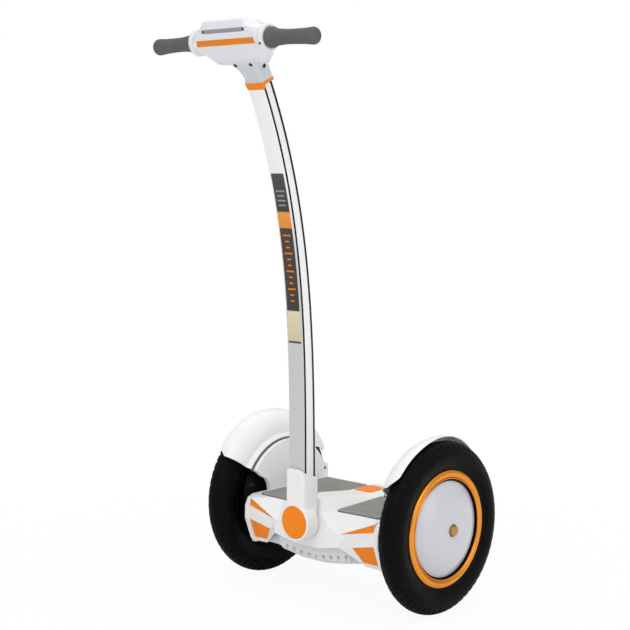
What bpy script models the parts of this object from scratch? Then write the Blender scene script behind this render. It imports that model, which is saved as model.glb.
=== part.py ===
"""Two-wheeled self-balancing scooter: hub-motor wheels, foot deck, leaning column and handlebar head.

Units are metres, +Z is up, and the rider stands behind the column and faces -Y.
Sizes are written in the axle frame: X runs along the wheel axle, with +X to the rider's left,
and the axle line is Y = 0, Z = 0. The empty called scooter moves that frame so that the origin
lies on the ground under the middle of the whole object.
"""

import math

import bmesh
import bpy
from mathutils import Matrix, Vector

# Clearances
GAP = 0.0003
RUNNING_GAP = 0.0006
SHADOW_GAP = 0.0030

# Facet counts
WHEEL_STEPS = 32
DISC_STEPS = 28
CUFF_STEPS = 20
SHAFT_STEPS = 16
SMALL_STEPS = 12
GRIP_STEPS = 16

# Shading: edges sharper than these angles in degrees stay sharp
ROUND_SHADING = 32
SKIN_SHADING = 40

# Tyres
TYRE_RADIUS = 0.184
TYRE_WIDTH = 0.056
TYRE_WALL = 0.006
TYRE_CROWN_WALL = 0.0102
TYRE_SIDE_WALL = 0.0072
TYRE_SIDE_ANGLES = (-40, -4, 36)
TREAD_EDGE_SHARE = 0.56
TREAD_EDGE_DROP = 0.155
TREAD_CROWN_SHARE = 0.26
TREAD_CROWN_DROP = 0.030

# Alloy rims, with their steps measured out from the motor bore and in from the rim's faces
RIM_WIDTH = 0.047
RIM_BORE_RADIUS = 0.1045
RIM_THROAT_STEP = 0.0025
RIM_WELL_STEP = 0.0085
RIM_LIP_STEP = 0.0125
RIM_SEAT_STEP = 0.0170
RIM_FLANGE_STEP = 0.0205
RIM_BORE_INSET = 0.0030
RIM_THROAT_INSET = 0.0022
RIM_LIP_PROUD = 0.0004
RIM_FLANGE_INSET = 0.0006
RIM_BEAD_INSET = 0.0035
RIM_WELL_INSET = 0.0110

# Hub motors: magnets, stator and domed covers
MAGNET_DEPTH = 0.0040
MAGNET_OVERHANG = 0.0015
AIR_GAP = 0.0010
STATOR_WIDTH = 0.022
STATOR_TEETH = 15
STATOR_SLOT_DEPTH = 0.012
STATOR_TOOTH = ((0.08, True), (0.72, True), (0.78, False), (1.02, False))
COVER_WALL = 0.0030
COVER_SINK = 0.0050
COVER_LIP = 0.0012
COVER_MAGNET_GAP = 0.0020
COVER_CURVE = 3.2
COVER_OUTER_SHARES = (0.0, 0.40, 0.70, 0.90)
COVER_INNER_SHARES = (0.80, 0.0)
OUTER_DOME = 0.0140
INNER_DOME = 0.0110

# Motor axles and their cap nuts
AXLE_RADIUS = 0.0075
AXLE_SHOULDER_RADIUS = 0.0120
AXLE_CHAMFER = 0.0012
AXLE_TAIL = 0.0100
NUT_RADIUS = 0.0120
NUT_HEIGHT = 0.0085
NUT_SINK = 0.0025
NUT_WALL = 0.0018
NUT_CHAMFER = 0.0015

# Fenders, with angles in degrees: along the wheel from the front, and round the section
FENDER_ARC_RADIUS = 0.045
FENDER_CROWN = 0.011
FENDER_WALL = 0.003
FENDER_FRONT_ANGLE = 35.0
FENDER_REAR_ANGLE = 150.0
FENDER_ARC_ANGLE = 186.0
FENDER_LIP_ANGLE = 80.0
FENDER_FRONT_LIP_ANGLE = 110.0
FENDER_REAR_LIP_ANGLE = 116.0
FENDER_FRONT_RUN = 9.5
FENDER_REAR_RUN = 82.0
FENDER_REAR_CURVE = 1.4
FENDER_ROOT_DEPTH = 0.0140
FENDER_FLANGE_HEIGHT = 0.0120
FENDER_FRONT_STEPS = 3
FENDER_STEPS = 10
FENDER_SECTION_STEPS = 7

# Base body, whose front is measured from the deck's front edge
DECK_Z = 0.0235
DECK_THICKNESS = 0.0070
DECK_HALF_WIDTH = 0.1815
DECK_FRONT_Y = -0.1090
DECK_REAR_Y = 0.1270
DECK_EDGE_INSET = 0.0040
NOSE_REACH = 0.0330
NOSE_Z = -0.0090
TAIL_REACH = 0.0230
BODY_WALL = 0.0030
CHEEK_Y_SHARE = 0.18
CHEEK_Z_SHARE = 0.35

# Seam and belly of the base, lowest in the middle and rising towards the pods
SEAM_Z = -0.0615
SEAM_SLOPE = 0.19
BELLY_DROP = 0.0120
BELLY_EDGE_RISE = 0.0016
BELLY_EDGE_MARGIN = 0.0010
BELLY_MOUTH_INSET = 0.0145
BELLY_LIP_INSET = 0.0230
POD_MOUTH_INSET = 0.0360
POD_LIP_INSET = 0.0380
BASE_BOTTOM_Z = -0.0860

# Front corners of the pods, as widths in from the deck's end, lengths back from the nose and heights
POD_WIDTH = 0.0865
POD_TIP_WIDTH = 0.0935
POD_TIP_INSET, POD_TIP_Z = 0.0025, -0.0175
POD_HIGH_INSET, POD_HIGH_DROP = 0.0135, 0.0040
POD_MIDDLE_INSET, POD_MIDDLE_Z = 0.0120, 0.0010
LAMP_TOP_WIDTH = 0.0625
LAMP_LOW_WIDTH = 0.0415
LAMP_INNER_TOP_INSET, LAMP_INNER_TOP_Z = 0.0120, -0.0410
LAMP_OUTER_TOP_INSET, LAMP_OUTER_TOP_Z = 0.0110, -0.0280
LAMP_OUTER_LOW_INSET, LAMP_OUTER_LOW_Z = 0.0285, -0.0745
LAMP_INNER_LOW_Z = -0.0725
POD_CHIN = 0.0075
TRIM_MARGIN = 0.0006
TRIM_TOP_DEPTH = 0.0004

# End plates, whose upper part shields the wheel. The front curve is (inset from the shield's radius, rise)
SIDE_PLATE_THICKNESS = 0.0120
SIDE_PLATE_PROUD = 0.0035
WHEEL_ROOM = 0.0207
SHIELD_MARGIN = 0.0025
SHIELD_FRONT_CURVE = ((0.0705, 0.0), (0.0680, 0.0150), (0.0605, 0.0275), (0.0445, 0.0365))
SHIELD_STEPS = 16
SHIELD_REAR_INSET = 0.0010
SHIELD_REAR_RISE = 0.0365
SHIELD_REAR_CUT = 0.0100

# Central ridge of the deck
RIDGE_FRONT_RISE = 0.0215
RIDGE_REAR_RISE = 0.0090
RIDGE_LEVEL_Y = 0.0300
RIDGE_BEND_Y = -0.0600
RIDGE_NOSE_REACH = 0.0120
RIDGE_TOP_FRONT_X = 0.0320
RIDGE_TOP_REAR_X = 0.0240
RIDGE_SIDE_FRONT = 0.0240
RIDGE_SIDE_REAR = 0.0180

# Foot mats and their switches
MAT_PROUD = 0.0040
MAT_TRAVEL = 0.0015
MAT_POCKET_DEPTH = 0.0045
MAT_CORNER = 0.0060
MAT_MARGIN = 0.0015
MAT_FRONT_INSET = 0.0010
MAT_REAR_INSET = 0.0080
MAT_EDGE_WIDTH = 0.0095
MAT_RIDGE_GAP = 0.0030
MAT_FRONT_SLANT = 0.0040
SWITCH_LENGTH = 0.050
SWITCH_WIDTH = 0.018
SWITCH_HEIGHT = 0.014

# Charging socket and its lid
LID_FRONT_Y = 0.0420
LID_LENGTH = 0.0570
LID_MARGIN = 0.0022
LID_THICKNESS = 0.0022
LID_SINK = 0.0008
LID_CORNER = 0.0055
SOCKET_RADIUS = 0.0095
SOCKET_DEPTH = 0.0180
SOCKET_WALL = 0.0020
SOCKET_FLOOR = 0.0040
SOCKET_PIN_RADIUS = 0.0020
SOCKET_SINK = 0.0020

# Chassis, battery and controller
CHASSIS_FLOOR_GAP = 0.0020
CHASSIS_TOP_GAP = 0.0015
CHASSIS_REAR_INSET = 0.0170
CHASSIS_WALL = 0.0040
CHASSIS_END_WALL = 0.0090
CHASSIS_HEIGHT = 0.0440
BATTERY_HEIGHT = 0.0380
BATTERY_SIDE_ROOM = 0.0230
BATTERY_FRONT_Y = -0.0180
BATTERY_ROUNDING = 0.0030
BOARD_THICKNESS = 0.0040
BOARD_SIDE_INSET = 0.0560
BOARD_FRONT_INSET = 0.0060
BOARD_REAR_INSET = 0.0040
FIN_COUNT = 7
FIN_PITCH = 0.0160
FIN_THICKNESS = 0.0030
FIN_HEIGHT = 0.0120
FIN_LENGTH = 0.0400
FIN_REAR_INSET = 0.0100
FIN_ROOT = 0.0030

# Rib strip under the nose
RIB_PITCH = 0.0215
RIB_GROOVE = 0.0080
RIB_GROOVE_DEPTH = 0.0030
RIB_HEIGHT = 0.0180

# Steering pivot, with its axis along Y
PIVOT_Z = 0.0020
PIVOT_SHAFT_RADIUS = 0.0080
PIVOT_BUSH_WALL = 0.0040
PIVOT_BUSH_FLANGE = 0.0030
PIVOT_BUSH_FLANGE_THICKNESS = 0.0018
PIVOT_BUSH_LENGTH = 0.0130
PIVOT_HOUSING_WALL = 0.0070
PIVOT_HOUSING_PROUD = 0.0030
PIVOT_HOUSING_LENGTH = 0.0560
PIVOT_SHAFT_TAIL = 0.0190
PIVOT_HOLE_DEPTH = 0.0300
LEG_HALF_WIDTH = 0.0152
LEG_DROP = 0.0020
LEAN_LIMIT = 15.0
LEVER_LENGTH = 0.0290
LEVER_HALF_WIDTH = 0.0040
LEVER_THICKNESS = 0.0070
LEVER_HUB_WALL = 0.0040
LEVER_ROOM = 0.0025
BUFFER_HALF_HEIGHT = 0.0050
BUFFER_LENGTH = 0.0120
BUFFER_RISE = 0.0020
BRACKET_WALL = 0.0040
BRACKET_REACH = 0.0100
BRACKET_FOOT = 0.0020
BRACKET_RISE = 0.0080
BRACKET_PLATE = 0.0060
BRACKET_OVERLAP = 0.0010

# Column boot
BOOT_REAR_GAP = 0.0045
BOOT_NOSE_GAP = 0.0042
BOOT_DEPTH = 0.0325
BOOT_STEM_DEPTH = 0.0500
BOOT_DISC_RADIUS = 0.0400
BOOT_HALF_WIDTH = 0.0265
BOOT_FOOT_DROP = 0.0160
BOOT_TOP_Z = 0.1120
BOOT_TOP_RISE = 0.0080
BOOT_TOP_FALL = 0.0170
BOOT_CORNER = 0.0080
BOOT_CORNER_STEPS = 4
BOOT_BEVEL = 0.0030
BOOT_EASE = 0.0009
DRUM_PROUD = 0.0005
CAP_RADIUS = 0.0350
CAP_PROUD = 0.0015
CAP_CHAMFER = 0.0022
CAP_DISH = 0.0006
CAP_SINK = 0.0030
CAP_BACK_WALL = 0.0040

# Column
COLUMN_RISE = 0.0040
COLUMN_SETBACK = 0.0080
COLUMN_WIDTH = 0.0430
COLUMN_DEPTH_LOW = 0.0390
COLUMN_DEPTH_HIGH = 0.0330
COLUMN_WALL = 0.0030
FRONT_PANEL_THICKNESS = 0.0030
COLUMN_CORNER = 0.0030
PANEL_CHAMFER = 0.0020
STRIP_THICKNESS = 0.0016
STRIP_FRONT_INSET = 0.0085
STRIP_REAR_INSET = 0.0095
COLUMN_STEPS = 14

# Collar
COLLAR_LENGTH = 0.0150
COLLAR_FOOT_LENGTH = 0.0030
COLLAR_FOOT_MARGIN = 0.0012
COLLAR_TOP_MARGIN = 0.0032
SPIGOT_LENGTH = 0.0300

# Handlebar head, with places measured from the bar's axis
BAR_Y = -0.3520
BAR_Z = 1.0030
BAR_RADIUS = 0.0110
BAR_WALL = 0.0025
NECK_DROP = 0.0950
NECK_SETBACK = 0.0630
HEAD_WALL = 0.0026
HEAD_SECTION = (
    (-0.0310, 0.0195),
    (-0.0250, 0.0000),
    (-0.0205, -0.0110),
    (0.0140, -0.0450),
    (0.0420, -0.0450),
    (0.0560, -0.0270),
    (0.0540, -0.0020),
    (0.0440, 0.0190),
    (0.0260, 0.0330),
    (0.0040, 0.0395),
    (-0.0240, 0.0400),
    (-0.0315, 0.0365),
)
HEAD_FACE_POINTS = (0, 1, 2)
HEAD_LIGHT_EDGE = 0
HEAD_STRIPE_EDGE = 1
HEAD_BUTTON_EDGE = 7
HEAD_DISPLAY_EDGE = 8
HEAD_END_ANGLES = (148, 180, 208, 250, 285, 320, 352, 380, 408, 438, 468, 490)
HEAD_END_X = 0.0900
HEAD_END_RADIUS = 0.0262
HEAD_FACE_INSET = 0.0100
HEAD_SHOULDER_INSET = 0.0240
HEAD_DEEP_INSET = 0.0340
HEAD_SHOULDER_SHARE = 0.45
HEAD_FACE_SHARES = (0.15, 0.90)
NECK_CORNER = 0.0050
NECK_SCREWS = (0.0285, -0.0490)
NECK_CHIN = (0.0090, -0.0320)
NECK_NAPE = (0.0680, -0.0330)
NECK_CROWN = (0.0510, -0.0120)
NECK_LEVELS = ((0.0010, 0.30, 0.35, 0.0060), (0.0030, 0.72, 0.70, 0.0040))
NECK_SCREWS_SPREAD = 0.0075
NECK_CHIN_SPREAD = 0.0175
SEAM_RISE = 0.0010
SEAM_REACH = 0.22
SEAM_NECK_REACH = 0.15
CUFF_LENGTH = 0.0120
CUFF_PROUD = 0.0013
CUFF_CHAMFER = 0.0030
CUFF_EASE = 0.0024
CUFF_DISH = 0.0018
GRIP_LENGTH = 0.1210
GRIP_FLANGE_RADIUS = 0.0204
GRIP_WAIST_RADIUS = 0.0146
GRIP_END_RADIUS = 0.0166
GRIP_END_WALL = 0.0060
GRIP_EDGE = 0.0010
GRIP_CURVE = ((0.06, 1.0), (0.12, 0.52), (0.23, 0.20), (0.42, 0.0))
GRIP_TAIL_CURVE = ((0.74, 0.35), (0.88, 0.92), (0.94, 1.0))
GRIP_TIP_CURVE = ((0.98, 0.86), (1.0, 0.60))
GRIP_DROOP = 1.6
STRIPE_INSET = 0.0015
STRIPE_SLANT = 0.0025
LIGHT_INSET = 0.0030
LIGHT_EDGE = 0.0008
LIGHT_WIDTH = 0.0049
INSERT_SINK = 0.0016
INSERT_PROUD = 0.0004
DISPLAY_HALF_WIDTH = 0.0300
DISPLAY_MARGIN = 0.0023
BUTTON_RADIUS = 0.0070
BUTTON_FLANGE = 0.0018
BUTTON_PROUD = 0.0018
BUTTON_TRAVEL = 0.0012

# Values worked out from the sizes above
SIDE_PLATE_X = DECK_HALF_WIDTH + GAP
SIDE_PLATE_OUTER_X = SIDE_PLATE_X + SIDE_PLATE_THICKNESS
HALF_TRACK = SIDE_PLATE_OUTER_X + WHEEL_ROOM + INNER_DOME + RIM_WIDTH / 2
RIM_THROAT_RADIUS = RIM_BORE_RADIUS + RIM_THROAT_STEP
RIM_WELL_RADIUS = RIM_BORE_RADIUS + RIM_WELL_STEP
RIM_LIP_RADIUS = RIM_BORE_RADIUS + RIM_LIP_STEP
RIM_SEAT_RADIUS = RIM_BORE_RADIUS + RIM_SEAT_STEP
RIM_FLANGE_RADIUS = RIM_BORE_RADIUS + RIM_FLANGE_STEP
COVER_RADIUS = RIM_BORE_RADIUS - SHADOW_GAP
FENDER_ARC_CENTRE = TYRE_RADIUS + FENDER_CROWN - FENDER_ARC_RADIUS
FENDER_ROOT_RADIUS = FENDER_ARC_CENTRE - FENDER_ROOT_DEPTH
FENDER_FLANGE_RADIUS = FENDER_ROOT_RADIUS - FENDER_FLANGE_HEIGHT
SHIELD_RADIUS = FENDER_ROOT_RADIUS - SHIELD_MARGIN
SHIELD_REAR_Y = SHIELD_RADIUS - SHIELD_REAR_INSET
NOSE_Y = DECK_FRONT_Y - NOSE_REACH
TAIL_Y = DECK_REAR_Y + TAIL_REACH
POD_INNER_X = DECK_HALF_WIDTH - POD_WIDTH
BELLY_EDGE_X = POD_INNER_X - BELLY_EDGE_MARGIN
BELLY_MOUTH_Y = NOSE_Y + BELLY_MOUTH_INSET
BELLY_LIP_Y = NOSE_Y + BELLY_LIP_INSET
POD_MOUTH_Y = NOSE_Y + POD_MOUTH_INSET
POD_LIP_Y = NOSE_Y + POD_LIP_INSET
POD_TIP = (DECK_HALF_WIDTH - POD_TIP_WIDTH, NOSE_Y + POD_TIP_INSET, POD_TIP_Z)
POD_HIGH_YZ = (NOSE_Y + POD_HIGH_INSET, DECK_Z - POD_HIGH_DROP)
POD_MIDDLE_YZ = (NOSE_Y + POD_MIDDLE_INSET, POD_MIDDLE_Z)
LAMP_INNER_TOP = (DECK_HALF_WIDTH - LAMP_TOP_WIDTH, NOSE_Y + LAMP_INNER_TOP_INSET, LAMP_INNER_TOP_Z)
LAMP_INNER_LOW_XZ = (DECK_HALF_WIDTH - LAMP_LOW_WIDTH, LAMP_INNER_LOW_Z)
LAMP_OUTER_TOP_YZ = (NOSE_Y + LAMP_OUTER_TOP_INSET, LAMP_OUTER_TOP_Z)
LAMP_OUTER_LOW_YZ = (NOSE_Y + LAMP_OUTER_LOW_INSET, LAMP_OUTER_LOW_Z)
RIDGE_FRONT_Z = DECK_Z + RIDGE_FRONT_RISE
RIDGE_REAR_Z = DECK_Z + RIDGE_REAR_RISE
RIDGE_NOSE_Y = DECK_FRONT_Y - RIDGE_NOSE_REACH
RIDGE_FOOT_FRONT_X = RIDGE_TOP_FRONT_X + RIDGE_SIDE_FRONT
RIDGE_FOOT_REAR_X = RIDGE_TOP_REAR_X + RIDGE_SIDE_REAR
MAT_TOP_Z = DECK_Z + MAT_PROUD
MAT_BOTTOM_Z = DECK_Z - MAT_POCKET_DEPTH + MAT_TRAVEL + GAP
LID_REAR_Y = LID_FRONT_Y + LID_LENGTH
RIB_COUNT = round(2 * BELLY_EDGE_X / RIB_PITCH)
CHASSIS_HALF_WIDTH = DECK_HALF_WIDTH - MAT_EDGE_WIDTH
CHASSIS_FRONT_Y = POD_LIP_Y + BODY_WALL * 2
CHASSIS_REAR_Y = DECK_REAR_Y - CHASSIS_REAR_INSET
CHASSIS_FLOOR_Z = BASE_BOTTOM_Z + BODY_WALL * 2 + CHASSIS_FLOOR_GAP
CHASSIS_RIM_Z = CHASSIS_FLOOR_Z + CHASSIS_HEIGHT
CHASSIS_END_Z = DECK_Z - DECK_THICKNESS - CHASSIS_TOP_GAP
BATTERY_FLOOR_Z = CHASSIS_FLOOR_Z + CHASSIS_WALL + GAP
BATTERY_HALF_WIDTH = CHASSIS_HALF_WIDTH - CHASSIS_END_WALL - BATTERY_SIDE_ROOM
BATTERY_REAR_Y = CHASSIS_REAR_Y - CHASSIS_WALL - GAP * 4
PIVOT_BUSH_RADIUS = PIVOT_SHAFT_RADIUS + PIVOT_BUSH_WALL
PIVOT_HOUSING_RADIUS = PIVOT_BUSH_RADIUS + PIVOT_HOUSING_WALL
PIVOT_HOUSING_FRONT_Y = CHASSIS_FRONT_Y - PIVOT_HOUSING_PROUD
PIVOT_HOUSING_REAR_Y = PIVOT_HOUSING_FRONT_Y + PIVOT_HOUSING_LENGTH
BOOT_REAR_Y = NOSE_Y - BOOT_REAR_GAP
BOOT_FRONT_Y = BOOT_REAR_Y - BOOT_DEPTH
BOOT_STEM_REAR_Y = BOOT_FRONT_Y + BOOT_STEM_DEPTH
COLUMN_FOOT_Z = RIDGE_FRONT_Z + SHADOW_GAP
COLUMN_BOTTOM_Z = BOOT_TOP_Z + COLUMN_RISE
COLUMN_TOP_Z = BAR_Z - NECK_DROP
COLUMN_SPAN = COLUMN_TOP_Z - COLUMN_BOTTOM_Z
COLUMN_FRONT_Y = BOOT_FRONT_Y + COLUMN_SETBACK
COLUMN_REACH = COLUMN_FRONT_Y - BAR_Y - NECK_SETBACK
CORE_HALF_WIDTH = COLUMN_WIDTH / 2 - STRIP_THICKNESS - GAP
HEAD_FACE_X = HEAD_END_X - HEAD_FACE_INSET
HEAD_SHOULDER_X = HEAD_END_X - HEAD_SHOULDER_INSET
HEAD_DEEP_X = HEAD_END_X - HEAD_DEEP_INSET
HEAD_FACE_REACH = -min(y for y, z in HEAD_SECTION)
CUFF_RADIUS = HEAD_END_RADIUS + CUFF_PROUD
AXLE_Y = -(BAR_Y - HEAD_FACE_REACH + TYRE_RADIUS) / 2


def paint(name, colour, roughness, metallic=0.0):
    """A Principled material with one colour."""
    material = bpy.data.materials.new(name)
    material.use_nodes = True
    shader = material.node_tree.nodes["Principled BSDF"]
    shader.inputs["Base Color"].default_value = (*colour, 1.0)
    shader.inputs["Roughness"].default_value = roughness
    shader.inputs["Metallic"].default_value = metallic
    material.diffuse_color = (*colour, 1.0)
    return material


def empty(name, location, parent=None):
    """An empty that marks a frame or a joint's axis, at a place in the axle frame."""
    marker = bpy.data.objects.new(name, None)
    marker.empty_display_size = 0.05
    bpy.context.scene.collection.objects.link(marker)
    marker.parent = parent
    marker.location = location
    return marker


def add(name, bm, material, parent, location=(0, 0, 0), rotation=(0, 0, 0), smooth=None):
    """Turns a bmesh into a named object with outward faces."""
    bmesh.ops.remove_doubles(bm, verts=bm.verts, dist=1e-6)
    bmesh.ops.recalc_face_normals(bm, faces=bm.faces)
    mesh = bpy.data.meshes.new(name)
    bm.to_mesh(mesh)
    bm.free()
    if smooth:
        mesh.shade_smooth()
        mesh.set_sharp_from_angle(angle=math.radians(smooth))
    made = bpy.data.objects.new(name, mesh)
    bpy.context.scene.collection.objects.link(made)
    if material:
        mesh.materials.append(material)
    made.parent = parent
    made.location = location
    made.rotation_euler = rotation
    return made


def smooth_by_angle(made, degrees):
    """Shades an object smooth, with sharp edges above an angle."""
    made.data.shade_smooth()
    made.data.set_sharp_from_angle(angle=math.radians(degrees))


def axle_frame_of(pivot):
    """Where a mesh written in the axle frame goes when a joint's empty carries it."""
    return tuple(-value for value in pivot.location) if pivot.parent else (0, 0, 0)


def box(low, high):
    """A bmesh box between two corners."""
    bm = bmesh.new()
    size = Vector(high) - Vector(low)
    middle = (Vector(high) + Vector(low)) / 2
    bmesh.ops.create_cube(bm, size=1.0, matrix=Matrix.Translation(middle) @ Matrix.Diagonal((*size, 1)))
    return bm


def merged(parts):
    """One bmesh that holds several separate shapes, for a cutter."""
    whole = bmesh.new()
    for part in parts:
        mesh = bpy.data.meshes.new("loose")
        part.to_mesh(mesh)
        part.free()
        whole.from_mesh(mesh)
        bpy.data.meshes.remove(mesh)
    return whole


def loft(rings, closed=False):
    """A bmesh skin through rings of points. Open ends are capped."""
    bm = bmesh.new()
    rows = [[bm.verts.new(point) for point in ring] for ring in rings]
    pairs = list(zip(rows, rows[1:]))
    if closed:
        pairs.append((rows[-1], rows[0]))
    for low, high in pairs:
        for k, first in enumerate(low):
            after = (k + 1) % len(low)
            bm.faces.new((first, low[after], high[after], high[k]))
    if not closed:
        bm.faces.new(rows[0][::-1])
        bm.faces.new(rows[-1])
    return bm


def tube(outer_rings, inner_rings):
    """A bmesh skin of an open-ended tube between an outer and an inner set of rings."""
    bm = bmesh.new()
    walls = []
    for rings in (outer_rings, inner_rings):
        rows = [[bm.verts.new(point) for point in ring] for ring in rings]
        walls.append(rows)
        for low, high in zip(rows, rows[1:]):
            for k, first in enumerate(low):
                after = (k + 1) % len(low)
                bm.faces.new((first, low[after], high[after], high[k]))
    outer, inner = walls
    for end in (0, -1):
        for k, first in enumerate(outer[end]):
            after = (k + 1) % len(outer[end])
            bm.faces.new((first, outer[end][after], inner[end][after], inner[end][k]))
    return bm


def revolve(profile, steps, closed=True):
    """Spins (along, radius) points about X, starting straight down. A closed profile makes a ring."""
    bm = bmesh.new()
    points = [bm.verts.new((along, 0, -radius)) for along, radius in profile]
    edges = [bm.edges.new(pair) for pair in zip(points, points[1:])]
    if closed:
        edges.append(bm.edges.new((points[-1], points[0])))
    bmesh.ops.spin(
        bm,
        geom=points + edges,
        cent=(0, 0, 0),
        axis=(1, 0, 0),
        angle=2 * math.pi,
        steps=steps,
        use_merge=True,
    )
    return bm


def prism(outline, direction):
    """Extrudes an outline of 3D points along a vector."""
    shift = Vector(direction)
    return loft([outline, [Vector(point) + shift for point in outline]])


def helper(made):
    """Marks an object as a cutter or a filler that a modifier uses."""
    made.hide_render = True
    made.display_type = "WIRE"
    return made


def combine(target, bm, operation, location=None, rotation=None):
    """Cuts, joins or intersects a shape with an object through a Boolean modifier."""
    tool = add(
        f"{target.name}_{operation.lower()}_{len(target.modifiers)}",
        bm,
        None,
        target.parent,
        location if location is not None else target.location,
        rotation if rotation is not None else target.rotation_euler,
    )
    helper(tool)
    step = target.modifiers.new(operation.title(), "BOOLEAN")
    step.operation = operation
    step.solver = "EXACT"
    step.object = tool
    return tool


def cylinder(radius, start, end, steps=SMALL_STEPS):
    """A bmesh cylinder along X from start to end."""
    return revolve([(start, 0), (start, radius), (end, radius), (end, 0)], steps, closed=False)


def blend(first, second, share):
    """The value that lies between two values or points."""
    return first + (second - first) * share


def arc_points(centre, radius, start, end, count):
    """Points (u, v) on an arc, with its angles in degrees."""
    found = []
    for k in range(count + 1):
        angle = math.radians(blend(start, end, k / count))
        found.append((centre[0] + radius * math.cos(angle), centre[1] + radius * math.sin(angle)))
    return found


def rounded(corners, radius, steps=3):
    """Rounds the corners of a flat outline of (u, v) points."""
    found = []
    for k, corner in enumerate(corners):
        here = Vector(corner)
        back = (Vector(corners[k - 1]) - here).normalized()
        ahead = (Vector(corners[(k + 1) % len(corners)]) - here).normalized()
        half = back.angle(ahead) / 2
        reach = radius / math.tan(half)
        centre = here + (back + ahead).normalized() * (radius / math.sin(half))
        first = here + back * reach - centre
        last = here + ahead * reach - centre
        turn = first.angle_signed(last)
        for step in range(steps + 1):
            spoke = first.copy()
            spoke.rotate(Matrix.Rotation(-turn * step / steps, 2))
            found.append(tuple(centre + spoke))
    return found


def grown(corners, amount):
    """Moves each side of a flat convex outline outwards by an amount."""
    middle = sum((Vector(corner) for corner in corners), Vector((0, 0))) / len(corners)
    lines = []
    for k, corner in enumerate(corners):
        start, end = Vector(corner), Vector(corners[(k + 1) % len(corners)])
        along = (end - start).normalized()
        out = Vector((along.y, -along.x))
        if out.dot(start - middle) < 0:
            out = -out
        lines.append((start + out * amount, along))
    found = []
    for k, (point, along) in enumerate(lines):
        before_point, before_along = lines[k - 1]
        cross = before_along.x * along.y - before_along.y * along.x
        gap = point - before_point
        reach = (gap.x * along.y - gap.y * along.x) / cross
        found.append(tuple(before_point + before_along * reach))
    return found


# Wheels


def tyre_profile():
    """Closed (along, radius) outline of the tyre, open to the rim."""
    half = TYRE_WIDTH / 2
    section = (TYRE_RADIUS - RIM_SEAT_RADIUS) / 2
    middle = TYRE_RADIUS - section
    bead = RIM_WIDTH / 2 - RIM_BEAD_INSET - GAP
    seat = RIM_SEAT_RADIUS + GAP
    one_side = [(bead, seat), (bead, RIM_FLANGE_RADIUS + RUNNING_GAP)]
    for angle in TYRE_SIDE_ANGLES:
        turn = math.radians(angle)
        one_side.append((half * math.cos(turn), middle + section * math.sin(turn)))
    one_side += [
        (half * TREAD_EDGE_SHARE, TYRE_RADIUS - section * TREAD_EDGE_DROP),
        (half * TREAD_CROWN_SHARE, TYRE_RADIUS - section * TREAD_CROWN_DROP),
        (0, TYRE_RADIUS),
    ]
    outer = one_side + [(-along, radius) for along, radius in reversed(one_side[:-1])]
    inner_side = [
        (bead - TYRE_WALL, seat),
        (half - TYRE_SIDE_WALL, middle),
        (half * TREAD_EDGE_SHARE, TYRE_RADIUS - TYRE_CROWN_WALL),
    ]
    cavity = [(-along, radius) for along, radius in inner_side] + inner_side[::-1]
    return outer + cavity


def rim_profile():
    """Closed outline of the alloy rim: lips, bead seats, well and motor bore."""
    half = RIM_WIDTH / 2
    one_side = [
        (half - RIM_BORE_INSET, RIM_BORE_RADIUS),
        (half - RIM_THROAT_INSET, RIM_THROAT_RADIUS),
        (half + RIM_LIP_PROUD, RIM_LIP_RADIUS),
        (half - RIM_FLANGE_INSET, RIM_FLANGE_RADIUS),
        (half - RIM_BEAD_INSET, RIM_FLANGE_RADIUS),
        (half - RIM_BEAD_INSET, RIM_SEAT_RADIUS),
        (half - RIM_WELL_INSET, RIM_WELL_RADIUS),
    ]
    return one_side + [(-along, radius) for along, radius in reversed(one_side)]


def motor_cover_profile(dome, hole):
    """Closed outline of a domed motor cover that plugs into the rim's bore, flat side inwards."""
    edge = RIM_WIDTH / 2 - COVER_SINK
    rise = dome + COVER_SINK
    plug = STATOR_WIDTH / 2 + MAGNET_OVERHANG + COVER_MAGNET_GAP
    outside = []
    inside = []
    for share in COVER_OUTER_SHARES:
        radius = blend(hole, COVER_RADIUS, share)
        outside.append((edge + rise * (1 - share**COVER_CURVE), radius))
    for share in COVER_INNER_SHARES:
        radius = blend(hole, COVER_RADIUS - COVER_WALL, share)
        inside.append((edge + rise * (1 - share**COVER_CURVE) - COVER_WALL, radius))
    rim_step = [(edge + COVER_LIP, COVER_RADIUS), (plug, COVER_RADIUS), (plug, COVER_RADIUS - COVER_WALL)]
    return outside + rim_step + inside


def turned_outwards(profile, side):
    """Mirrors a profile so that its outer face points away from the middle of the scooter."""
    return [(side * along, radius) for along, radius in profile]


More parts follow.
